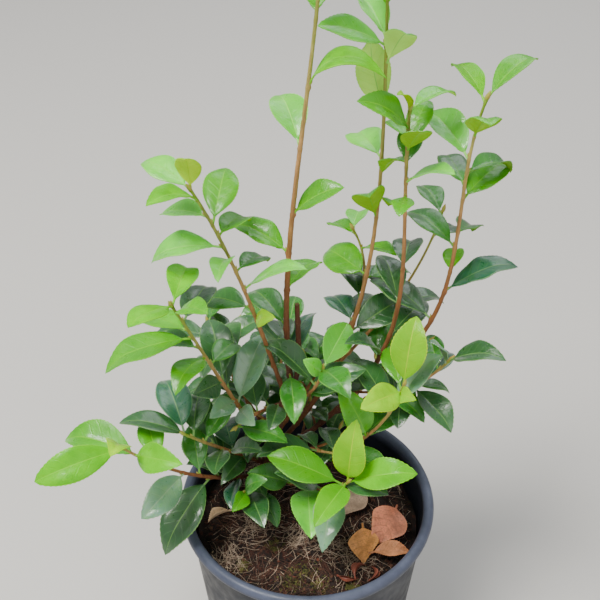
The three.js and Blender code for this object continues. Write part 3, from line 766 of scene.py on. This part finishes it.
barkColours = {
    "ages": [(0.0, (138, 168, 48)), (0.14, (172, 164, 84)), (0.34, (190, 144, 88)), (0.6, (154, 100, 58)),
             (0.85, (106, 60, 40)), (1.0, (74, 44, 36))],
    "streaks": (70, 40, 30), "flakes": (176, 148, 118), "cut": (150, 118, 86),
    "crack": (50, 28, 20), "plate": (126, 72, 48), "weathered": (112, 80, 60),
}


def stemFinish():
    look = Finish("stemBark", Roughness=0.68, Specular_IOR_Level=0.3)
    age = look.node("Attribute", output="Fac", attribute_name="age")
    aged = look.maths("MULTIPLY_ADD", look.grain(90.0), 0.16, age)
    ramp = look.node("ValToRGB", {0: look.spread(aged, 0.08, 1.08)})
    stops = ramp.node.color_ramp.elements
    while len(stops) < len(barkColours["ages"]):
        stops.new(0.5)
    for stop, (at, colour) in zip(stops, barkColours["ages"]):
        stop.position = at
        stop.color = linear(colour)
    lines = look.spread(look.grain(1.0, 5.0, place=look.stretched(420.0, 420.0, 60.0)), 0.40, 0.62)
    worn = look.mix(look.spread(lines, 0.0, 1.0, 0.0, 0.32), ramp, barkColours["streaks"])
    specks = look.node("TexVoronoi", {"Vector": look.place, "Scale": 620.0}, "Distance")
    colour = look.mix(look.spread(specks, 0.10, 0.20, 0.5, 0.0), worn, barkColours["flakes"])
    return look.wear(Base_Color=colour, Normal=look.relief(lines, 0.9, 0.0007))


def trunkFinish():
    look = Finish("trunkBark", Roughness=0.82)
    plates = look.grain(260.0, 6.0, 0.65, 0.6, look.stretched(1.0, 1.0, 0.35))
    cracked = look.mix(look.spread(plates, 0.35, 0.65), barkColours["crack"], barkColours["plate"])
    colour = look.mix(look.patches(45.0, 0.35, 0.7, end=0.5), cracked, barkColours["weathered"])
    return look.wear(Base_Color=colour, Normal=look.relief(plates, 0.8, 0.0010))


def cutFinish():
    look = Finish("cutWood", Roughness=0.7)
    base = linear(barkColours["cut"])
    return look.wear(Base_Color=look.mix(look.grain(700.0), shaded(base, 0.55), base))


stemBark = stemFinish()
stemForm = {
    "sides": 12, "step": 1.6, "nodeEvery": 17, "nodeLong": 1.5, "ring": 0.16, "knob": 0.5,
    "ripple": 0.12, "rippleScale": 0.35,
}


def facingOf(out):
    return Vector((out.x, out.y)).normalized() if out.x or out.y else Vector((1, 0))


# Each leaf stalk, and each old leaf scar below the leaves, swells the stem on its own side
def swollenGirth(name, nodes):
    def girthAt(share, out):
        girth = girths[name](share)
        facing = facingOf(out)
        swell = 0
        for at, turn in nodes:
            away = (share - at) * lengths[name]
            if abs(away) < 3 * stemForm["nodeLong"]:
                near = math.exp(-(away / stemForm["nodeLong"]) ** 2)
                swell += near * (stemForm["ring"] + stemForm["knob"] * max(facing.dot(turn), 0) ** 2)
        place = Vector((facing.x * girth, facing.y * girth, share * lengths[name]))
        return girth * (1 + swell + stemForm["ripple"] * noise.noise(place * stemForm["rippleScale"]))

    return girthAt


def nodesOf(name, first):
    turned = [(leaf["share"], math.radians(leaf["heading"])) for leaf in grownLeaves if leaf["limb"] == name]
    lowest = min([share for share, _ in turned], default=1)
    bare = int((lowest - first) * lengths[name] / stemForm["nodeEvery"])
    scars = [(first + (i + 0.6) * stemForm["nodeEvery"] / lengths[name],
              math.radians(growth["goldenTurn"] * i + 40)) for i in range(bare)]
    return [(share, Vector((math.cos(turn), math.sin(turn)))) for share, turn in turned + scars]


def barkedStem(name, nodes, first, ageAt):
    steps = int(lengths[name] / stemForm["step"])
    return stemShape(routes[name], swollenGirth(name, nodes), stemForm["sides"], steps, first, 1, ageAt)


boughs = bmesh.new()
boughs.verts.layers.float.new("age")
for name, limb in {**limbs, **twigs}.items():
    first = -0.012 if name == "centre" else 0    # the leader reaches back into the trunk's fork
    fading = lambda share: limb["woody"] * (1 - min(max(share, 0), 1)) ** limb["fade"]
    addShape(boughs, barkedStem(name, nodesOf(name, 0.06), first, fading))
boughNodes = ["bough_" + name for name, limb in limbs.items() if limb["enters"] > 0]
finishPiece("boughs", boughs, [stemBark], boughNodes, 60)

# Trunk: rough plates of bark, a collar round the foot of each bough, and three low buttresses
trunkRelief = {
    "plates": 0.42, "plateScale": 0.45, "fine": 0.2, "fineScale": 1.4, "stretch": 0.4,
    "knob": 1.1, "knobLong": 4.0, "buttresses": 3, "buttress": 0.9, "buttressFade": 0.08, "buttressTurn": 0.6,
}
boughFeet = [(limb["at"], Vector(limb["lowBend"]) - routes[name][0])
             for name, limb in limbs.items() if limb["parent"] == "trunk" and limb["at"] < 1]


def trunkGirth(share, out):
    girth = girths["trunk"](share)
    facing, form = facingOf(out), trunkRelief
    place = Vector((facing.x * girth, facing.y * girth, share * lengths["trunk"] * form["stretch"]))
    bark = form["plates"] * noise.noise(place * form["plateScale"])
    bark += form["fine"] * noise.noise(place * form["fineScale"])
    for at, towards in boughFeet:
        near = math.exp(-((share - at) * lengths["trunk"] / form["knobLong"]) ** 2)
        bark += form["knob"] * near * max(facing.dot(towards.to_2d().normalized()), 0) ** 1.5
    turn = form["buttresses"] * math.atan2(facing.y, facing.x) + form["buttressTurn"]
    bark += form["buttress"] * math.exp(-share / form["buttressFade"]) * max(math.sin(turn), 0)
    return girth + bark


trunkSteps = int(lengths["trunk"] / trunk["step"])
trunkShape = stemShape(routes["trunk"], trunkGirth, trunk["sides"], trunkSteps, 0, 1)
finishPiece("trunkWithBark", trunkShape, [trunkFinish()], ["trunk"], 60)

stubNodes = [(0.35, Vector((1, 0))), (0.62, Vector((-0.6, -0.8))), (0.86, Vector((0.5, 0.8)))]
stubShape = barkedStem("stub", stubNodes, 0, lambda share: 0.98 - 0.1 * share)
for face in stubShape.faces:
    if len(face.verts) > 4 and face.normal.z > 0.5:
        face.material_index = 1
finishPiece("prunedStub", stubShape, [stemBark, cutFinish()], ["pruned_stub"], 60)

# Buds: a pointed one at each tip and a small one in the angle of each leaf

budForm = {
    "tipSize": (1.5, 1.5, 4.2), "sideSize": (0.85, 0.85, 1.9), "taper": 0.7, "sideOut": 0.9, "sideUp": 1.6,
    "colours": ((160, 178, 66), (172, 128, 64)),
}


def budShape(around, tiers):
    shape = bmesh.new()
    bmesh.ops.create_uvsphere(shape, u_segments=around, v_segments=tiers, radius=1)
    for vert in shape.verts:
        narrow = 1 - budForm["taper"] * max(vert.co.z, 0) ** 1.3
        vert.co = (vert.co.x * narrow, vert.co.y * narrow, vert.co.z + 0.7)
    return meshOf("bud", shape)


def setBud(whole, bud, size, place, towards):
    turn = up.rotation_difference(towards.normalized())
    for point in addPart(whole, bud):
        point.co = place + turn @ Vector([a * b for a, b in zip(point.co, size)])


def budFinish():
    look = Finish("budScales", Roughness=0.42)
    return look.wear(Base_Color=look.mix(look.patches(260.0, 0.35, 0.7), *budForm["colours"]))


buds = bmesh.new()
tipBud, sideBud = budShape(10, 8), budShape(6, 5)
for name in [*limbs, *twigs]:
    setBud(buds, tipBud, budForm["tipSize"], routePoint(routes[name], 1), routeTangent(routes[name], 1))
for leaf in grownLeaves:
    along = routeTangent(routes[leaf["limb"]], min(leaf["share"], 1))
    out = leafMatrix(leaf).to_3x3() @ Vector((0, 1, 0))
    girth = girths[leaf["limb"]](leaf["share"])
    place = leaf["foot"] + out * girth * budForm["sideOut"] + along * budForm["sideUp"]
    setBud(buds, sideBud, budForm["sideSize"], place, along + out * 0.6)
finishPiece("buds", buds, [budFinish()])

# Pot: rolled rim, thin wall with upright flutes, and a drain notch at the foot of each flute

pot = {
    "height": 190, "rimRadius": 100, "rimDepth": 12, "topRadius": 94, "footRadius": 79,
    "wall": 2, "floor": 2.5, "beadWide": 4.15, "beadHigh": 4.7, "around": 256,
    "flutes": 8, "fluteTop": 168, "fluteDepth": 6, "fluteTopScale": 0.35,
    "notchWidth": 15, "notchHeight": 15, "notchFrom": 62, "notchLong": 40,
    # The third colour is the bead's pale bluish top: rubbed dust and painted sheen
    "dark": (22, 25, 32), "pale": (42, 46, 57), "rubbed": (88, 94, 114), "grit": (104, 88, 74),
}


# A closed shape spun from its outline of radii and heights
def spunShape(outline, around):
    shape = bmesh.new()
    points = [shape.verts.new((radius, 0, height)) for radius, height in outline]
    edges = [shape.edges.new(pair) for pair in zip(points, points[1:])]
    bmesh.ops.spin(shape, geom=points + edges, cent=(0, 0, 0), axis=up, angle=math.tau, steps=around,
                   use_merge=True)
    bmesh.ops.remove_doubles(shape, verts=shape.verts, dist=1e-4)
    bmesh.ops.recalc_face_normals(shape, faces=shape.faces[:])
    return shape


def bodyRadius(height):
    flare = pot["topRadius"] - pot["footRadius"]
    return pot["footRadius"] + flare * height / (pot["height"] - pot["rimDepth"])


# The wall folds inwards at each flute, deepest at the foot
def foldWall(point):
    reach = math.hypot(point.x, point.y)
    if reach < pot["footRadius"] / 2:
        return
    lobe = math.tau / pot["flutes"]
    step = lobe / 8
    rise = min(point.z / pot["fluteTop"], 1)
    angle = math.atan2(point.y, point.x)
    middle = round(angle / lobe) * lobe
    steps = (angle - middle) / step
    scale = 1 + (pot["fluteTopScale"] - 1) * rise
    near = min(abs(steps), 2) * scale
    far = max(abs(steps) - 2, 0) * (2 - scale)
    depth = pot["fluteDepth"] * (1 - rise) * (1 - min(abs(steps) / 2, 1))
    turned = middle + math.copysign(near + far, steps) * step
    point.x, point.y = (reach - depth) * math.cos(turned), (reach - depth) * math.sin(turned)


def potOutline():
    foot, top, wall, bottom = pot["footRadius"], pot["topRadius"], pot["wall"], pot["floor"]
    wide, high = pot["beadWide"], pot["beadHigh"]
    bead = [(pot["rimRadius"] - wide + wide * math.cos(turn), pot["height"] - high + high * math.sin(turn))
            for turn in [math.radians(-70 + 15 * i) for i in range(18)]]
    rimFoot = pot["height"] - pot["rimDepth"]
    outside = [(bodyRadius(rimFoot * i / 24), rimFoot * i / 24) for i in range(1, 24)]
    inside = [(bodyRadius(rimFoot * i / 12) - wall, rimFoot * i / 12) for i in range(12, 0, -1)]
    return [(0, 0), (foot - 6, 0), (foot - 1, 0), (foot, 1), *outside,
            (top - 0.1, rimFoot - 1), (top, rimFoot), *bead, (top - wall, rimFoot + 1), *inside,
            (bodyRadius(bottom) - 6, bottom), (0, bottom)]


# One arched cutter for each notch, lying outwards through the wall
def notchCutter():
    cutter = bmesh.new()
    half, high, long = pot["notchWidth"] / 2, pot["notchHeight"], pot["notchLong"]
    for i in range(pot["flutes"]):
        arch = bmesh.new()
        bmesh.ops.create_cone(arch, cap_ends=True, segments=32, radius1=half, radius2=half, depth=long)
        for vert in arch.verts:
            sideways, rise = vert.co.x, vert.co.y
            if rise < -0.01:
                sideways = math.copysign(half, sideways) if abs(sideways) > 0.01 else 0
                rise = rise / half * (high - half + 1)
            vert.co = (pot["notchFrom"] + long / 2 + vert.co.z, sideways, rise + high - half)
        turn = Matrix.Rotation(i * math.tau / pot["flutes"], 3, "Z")
        bmesh.ops.rotate(arch, cent=(0, 0, 0), matrix=turn, verts=arch.verts)
        bmesh.ops.recalc_face_normals(arch, faces=arch.faces[:])
        addShape(cutter, arch)
    return cutter


# Dull black plastic, paler and bluish on top of the rim's bead as rubbed dust and painted sheen, and splashed
# with grit near the foot
def plasticFinish():
    look = Finish("potPlastic", Specular_IOR_Level=0.3)
    base = look.mix(look.patches(14.0, 0.3, 0.7, 5.0), pot["dark"], pot["pale"])
    height = look.node("SeparateXYZ", {0: look.place}, 2)
    faded = look.patches(60.0, 0.3, 0.7, 7.0, 0.7, 0.5, 0.95)
    # Broken band on the top of the bead: painted sheen of the light from above, together with rubbed dust
    bead = look.maths("MULTIPLY", look.spread(height, 0.179, 0.187), faded)
    rubbed = look.mix(bead, base, pot["rubbed"])
    grit = look.patches(130.0, 0.48, 0.62, 6.0, 0.7)
    soiled = look.maths("MULTIPLY", look.spread(height, 0.0, 0.05, 0.35, 0.0), grit)
    colour = look.mix(soiled, rubbed, pot["grit"])
    scuffs = look.relief(look.grain(1.0, 3.0, place=look.stretched(60.0, 60.0, 900.0)), 0.12, 0.0004)
    dull = look.patches(90.0, 0.3, 0.7, start=0.34, end=0.56)
    return look.wear(Base_Color=colour, Normal=scuffs, Roughness=dull)


potShape = spunShape(potOutline(), pot["around"])
for vert in potShape.verts:
    foldWall(vert.co)
potPiece = finishPiece("nurseryPot", potShape, [plasticFinish()], ["pot"], 50)
cutterShape = notchCutter()
toMetres(cutterShape)
cutter = linked("notchCutter", meshOf("notchCutter", cutterShape))
notches = potPiece.modifiers.new("notches", "BOOLEAN")
notches.solver = "EXACT"
notches.object = cutter
cutPot = bpy.data.meshes.new_from_object(potPiece.evaluated_get(bpy.context.evaluated_depsgraph_get()))
potPiece.modifiers.remove(notches)
potPiece.data = cutPot
cutPot.set_sharp_from_angle(angle=math.radians(35))
bpy.data.objects.remove(cutter)
print("pot notched, faces:", len(cutPot.polygons))

# Potting mix: an uneven crumbly top with clods, bark chips, pale roots and some moss

mix = {
    "level": 164, "edgeDrop": 4, "innerDrop": 0.8, "rough": 1.6, "around": 220, "rings": 84,
    "clodHeight": 2.4, "crumbHeight": 1.0, "slump": 5.0,
    "dark": (10, 7, 6), "pale": (50, 33, 26), "warm": (84, 40, 28), "grit": (146, 118, 88),
}
mixReach = bodyRadius(mix["level"]) - pot["wall"] - gap - 2.5
mixFoot = pot["footRadius"] - pot["fluteDepth"] - pot["wall"] - gap - 1


def mixHeight(x, y):
    out = math.hypot(x, y) / mixReach
    inner = mix["innerDrop"]
    base = mix["level"] - inner * smooth(out, 0.6, 0.86) - (mix["edgeDrop"] - inner) * smooth(out, 0.86, 1)
    wave = math.sin(x * 0.31 + y * 0.17) + math.sin(y * 0.27 - x * 0.12 + 2)
    place = Vector((x, y, 0))
    clods = mix["clodHeight"] * noise.noise(place * 0.13) + mix["crumbHeight"] * noise.noise(place * 0.42)
    crumbs = 0.5 * noise.noise(place * 1.1) + 0.3 * noise.noise(place * 2.3)
    slump = mix["slump"] * smooth(out, 0.88, 1)
    slump *= max(noise.noise(place * 0.05 + Vector((3, 1, 0))) + 0.2, 0)
    return base + mix["rough"] * 0.5 * wave + clods + crumbs - slump


def mixFinish():
    look = Finish("pottingMix", Roughness=0.92)
    base = look.mix(look.patches(120.0, 0.3, 0.7, 8.0, 0.7), mix["dark"], mix["pale"])
    warm = look.mix(look.patches(210.0, 0.56, 0.64, end=0.6), base, mix["warm"])
    cells = look.node("TexVoronoi", {"Vector": look.place, "Scale": 420.0}, "Distance")
    colour = look.mix(look.spread(cells, 0.06, 0.13, 0.4, 0.0), warm, mix["grit"])
    return look.wear(Base_Color=colour, Normal=look.relief(look.grain(380.0, 8.0, 0.75), 1.0, 0.0016))


mixOutline = [(mixReach * i / mix["rings"], mix["level"]) for i in range(mix["rings"] + 1)]
mixShape = spunShape([*mixOutline, (mixFoot, pot["floor"] + gap), (0, pot["floor"] + gap)], mix["around"])
for vert in mixShape.verts:
    if vert.co.z > mix["level"] - 1:
        vert.co.z = mixHeight(vert.co.x, vert.co.y)
finishPiece("pottingMix", mixShape, [mixFinish()], ["soil"], 60)

scatter = random.Random(23)


def plainFinish(name, dark, pale, scale, rough):
    look = Finish(name, Roughness=rough)
    colour = look.mix(look.patches(scale, 0.3, 0.7), dark, pale)
    return look.wear(Base_Color=colour, Normal=look.relief(look.grain(scale * 4), 0.6, 0.0005))


def randomSpot(reach=0.95):
    while True:
        x, y = scatter.uniform(-1, 1), scatter.uniform(-1, 1)
        if x * x + y * y < reach * reach:
            return x * mixReach, y * mixReach


def tumbled(least, most):
    turn = Matrix.Rotation(scatter.uniform(0, math.tau), 3, "Z")
    return turn @ Matrix.Rotation(scatter.uniform(least, most), 3, "X")


# Crumbs are small rough lumps, chips are flat bits of bark.
# Each row: how many, least and greatest size, how flat, dark and pale colour.
crumbKinds = {
    "crumbsDark": (520, (0.9, 2.6), 0.8, (18, 13, 11), (54, 38, 30)),
    "crumbsBrown": (380, (0.7, 2.2), 0.7, (54, 34, 25), (96, 62, 44)),
    "chipsRed": (60, (0.8, 2.6), 0.3, (66, 34, 26), (116, 62, 44)),
    "chipsPale": (45, (0.5, 1.5), 0.35, (140, 118, 94), (180, 158, 128)),
}
lump = bmesh.new()
bmesh.ops.create_icosphere(lump, subdivisions=1, radius=1)
lumpMesh = meshOf("lump", lump)
for name, (count, limits, flat, dark, pale) in crumbKinds.items():
    shape = bmesh.new()
    for i in range(count):
        x, y = randomSpot()
        size = scatter.uniform(*limits)
        turn = tumbled(-0.6, 0.6)
        wide = size * scatter.uniform(0.45, 0.95)
        sizes = Vector((size, wide, size * flat * scatter.uniform(0.6, 1)))
        foot = Vector((x, y, mixHeight(x, y) + size * 0.25 * flat))
        for point in addPart(shape, lumpMesh):
            rough = 1 + scatter.uniform(-0.22, 0.22)
            point.co = foot + turn @ Vector([a * b * rough for a, b in zip(point.co, sizes)])
    finishPiece(name, shape, [plainFinish(name, dark, pale, 300.0, 0.9)], (), 25)

# Fine dark fibres all over, and pale ones that lie in clumps: middle and spread of each
fibreKinds = {
    "peatFibres": {
        "count": 1100, "length": (6, 18), "girth": (0.14, 0.3), "wander": 2.4, "lift": 2.2, "clumps": [],
        "colours": ((46, 26, 20), (104, 66, 50)),
    },
    "rootFibres": {
        "count": 760, "length": (4, 22), "girth": (0.08, 0.2), "wander": 3.0, "lift": 3.4,
        "clumps": [((-70, -27), 7), ((-60, -42), 8), ((18, -32), 12), ((22, -58), 11), ((40, -44), 8),
                   ((-44, -12), 11), ((-34, -44), 8), ((60, -10), 8), ((-8, -22), 9), ((30, 60), 12),
                   ((-50, 50), 12), ((70, 36), 9)],
        "colours": ((132, 108, 90), (212, 190, 166)),
    },
}


def fibreRoute(x, y, kind):
    turn = scatter.uniform(0, math.tau)
    length = scatter.uniform(*kind["length"])
    route = []
    for j in range(4):
        px = x + math.cos(turn) * length * (j / 3 - 0.5) + scatter.uniform(-1, 1) * kind["wander"]
        py = y + math.sin(turn) * length * (j / 3 - 0.5) + scatter.uniform(-1, 1) * kind["wander"]
        shrink = min(1, mixReach * 0.95 / max(math.hypot(px, py), 1))
        px, py = px * shrink, py * shrink
        lift = scatter.uniform(0.2, kind["lift"])
        route.append(Vector((px, py, mixHeight(px, py) + lift)))
    return route


for name, kind in fibreKinds.items():
    fibres = bmesh.new()
    for i in range(kind["count"]):
        x, y = randomSpot(0.9)
        if kind["clumps"] and i % 3:
            (x, y), reach = kind["clumps"][i % len(kind["clumps"])]
            x, y = x + scatter.gauss(0, reach * 0.8), y + scatter.gauss(0, reach * 0.8)
        route = fibreRoute(x, y, kind)
        girth = scatter.uniform(*kind["girth"])
        addShape(fibres, stemShape(route, lambda share, _: girth, 3, 6, 0, 1))
    finishPiece(name, fibres, [plainFinish(name, *kind["colours"], 120.0, 0.8)], (), 80)

# Moss: tufts crowd towards the middle of each patch
moss = {
    "patches": [((-2, -56), 11), ((9, -65), 8), ((-14, -63), 9), ((-26, -30), 6), ((-50, -48), 5),
                ((34, -66), 5)],
    "tufts": 260, "size": (0.5, 1.6), "colours": ((58, 62, 24), (124, 122, 62)),
}
mossShape = bmesh.new()
tuft = bmesh.new()
bmesh.ops.create_cone(tuft, cap_ends=True, segments=4, radius1=0.55, radius2=0.05, depth=1.6)
tuftMesh = meshOf("tuft", tuft)
for (middleX, middleY), reach in moss["patches"]:
    for i in range(moss["tufts"]):
        x, y = middleX + scatter.gauss(0, reach * 0.5), middleY + scatter.gauss(0, reach * 0.5)
        size = scatter.uniform(*moss["size"])
        lean = tumbled(0, 1.1)
        foot = Vector((x, y, mixHeight(x, y) + 0.3))
        for point in addPart(mossShape, tuftMesh):
            point.co = foot + lean @ point.co * size
finishPiece("moss", mossShape, [plainFinish("moss", *moss["colours"], 150.0, 0.9)], (), 30)
print("potting mix dressed")

# Fallen leaves: dry and curled, each lying where its solid lies, and a few small curls beside them.
# Each row: foot, heading, length, width as a share of it, arch, roll and fold, then colour and own habit.
dryFields = ("foot", "heading", "length", "wide", "arch", "roll", "fold")
dryHabit = {
    "curl": 0.8, "lip": -0.2, "wave": 0.09, "waves": 1.6, "phase": 1.2, "sway": 0.06,
    "widest": 1.0, "blunt": 1.0,
}
fallenRows = [
    ((51, 27), 230, 40, 0.66, 0.05, 0, 0.2, (194, 164, 140), {"curl": 0.1}),
    ((73, 8), 244, 46, 0.66, 0.14, -22, 0.12, (240, 148, 112),
     {"curl": 1.0, "widest": 0.86, "blunt": 1.1, "lip": -0.05}),
    ((44, -10), 272, 38, 0.64, 0.08, 8, 0.22, (234, 160, 94),
     {"curl": 0.3, "widest": 1.05, "blunt": 1.2, "lip": -0.04}),
    ((47, -43), 7, 32, 0.46, 0.06, 5, 0.3, (214, 142, 96), {"curl": 0.6, "blunt": 0.9, "lip": -0.1}),
    ((-61, 5), 215, 22, 0.5, 0.1, 20, 0.8, (236, 200, 160), {"curl": 0.2}),
]
curlRows = [
    ((22, -58), 345, 15, 0.4, 0.2, 50, 0.9), ((46, -62), 75, 13, 0.5, 0.3, 70, 0.9),
    ((36, -62), 60, 15, 0.6, 0.25, -40, 0.8), ((-20, 40), 120, 26, 0.55, 0.15, 15, 0.5),
    ((20, 66), 200, 20, 0.5, 0.2, -30, 0.7),
]
curlColour = (152, 84, 66)


def dryFinish(name, colour):
    look = Finish(name, Roughness=0.42, Specular_IOR_Level=0.4)
    base = linear(colour)
    blotched = look.mix(look.patches(90.0, 0.35, 0.65, 5.0, 0.65), shaded(base, 0.6), shaded(base, 1.15))
    speckled = look.mix(look.patches(700.0, 0.5, 0.62, 3.0, end=0.4), blotched, shaded(base, 0.4))
    vein, _, out = veinMask(look)
    veined = look.mix(look.maths("MULTIPLY", vein, 0.3), speckled, shaded(base, 0.5))
    edged = look.mix(look.spread(out, 0.38, 0.5, 0.0, 0.6), veined, shaded(base, 1.3))
    return look.wear(Base_Color=edged, Normal=look.relief(vein, 0.6, 0.0007))


# Shapes one dry leaf and lowers it until it lies at its level
def layDryLeaf(shape, row, habit, rise, level):
    leaf = {**dict(zip(dryFields, row)), "rise": rise}
    leaf["width"] = leaf["length"] * leaf["wide"]
    leaf["foot"] = Vector((*leaf["foot"], 0))
    points = addPart(shape, leafMaster)
    shapeLeaf(points, leaf, {**dryHabit, **habit})
    lift = level - min(point.co.z for point in points)
    for point in points:
        point.co.z += lift


for i, (*row, colour, habit) in enumerate(fallenRows, 1):
    solid = f"fallen_leaf_{i}"
    shape = newLeafShape()
    layDryLeaf(shape, row, habit, 0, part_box(solid)[0].z / mm + 0.8)
    finishPiece(f"fallenLeaf{i}", shape, [dryFinish(f"dryLeaf{i}", colour)] * 3, [solid])

curls = newLeafShape()
for row in curlRows:
    layDryLeaf(curls, row, {}, 8, mixHeight(*row[0]) + 0.5)
finishPiece("dryCurls", curls, [dryFinish("dryCurls", curlColour)] * 3)

# Camera at the photograph's view, soft studio light and a plain pale floor

studio = {
    "cameraPlace": (-0.0059, -0.524, 0.804), "cameraPitch": 51.5, "lens": 60, "sensor": 36,
    "floorSize": 12, "floorColour": (0.62, 0.60, 0.57, 1),
    "skyColour": (0.96, 0.98, 1.0, 1), "skyStrength": 0.5, "lampsFace": (0, 0, 0.3),
}
cameraData = bpy.data.cameras.new("camera")
cameraData.lens = studio["lens"]
cameraData.sensor_width = studio["sensor"]
camera = linked("camera", cameraData)
camera.location = studio["cameraPlace"]
camera.rotation_euler = (math.radians(studio["cameraPitch"]), 0, 0)
bpy.context.scene.camera = camera

lamps = {
    "keyLight": {"place": (-0.8, -0.4, 2.3), "size": 1.0, "power": 76, "colour": (1.0, 0.98, 0.93)},
    "skyPanel": {"place": (0.6, 1.7, 2.0), "size": 1.6, "power": 16, "colour": (0.92, 0.96, 1.0)},
    "fillLight": {"place": (0.9, -1.7, 1.1), "size": 1.8, "power": 14, "colour": (1.0, 1.0, 0.98)},
}
for name, lamp in lamps.items():
    light = bpy.data.lights.new(name, "AREA")
    light.shape = "DISK"
    light.size = lamp["size"]
    light.energy = lamp["power"]
    light.color = lamp["colour"]
    holder = linked(name, light)
    holder.location = lamp["place"]
    facing = Vector(studio["lampsFace"]) - Vector(lamp["place"])
    holder.rotation_euler = facing.to_track_quat("-Z", "Y").to_euler()

world = bpy.data.worlds.new("sky")
world.use_nodes = True
sky = world.node_tree.nodes["Background"]
sky.inputs["Color"].default_value = studio["skyColour"]
sky.inputs["Strength"].default_value = studio["skyStrength"]
bpy.context.scene.world = world

floorShape = bmesh.new()
bmesh.ops.create_grid(floorShape, x_segments=4, y_segments=4, size=studio["floorSize"] / 2)
floor = linked("floor", meshOf("floor", floorShape))
floorLook = Finish("floorFinish", Roughness=0.8, Base_Color=studio["floorColour"])
floor.data.materials.append(floorLook.material)

print("scene complete")
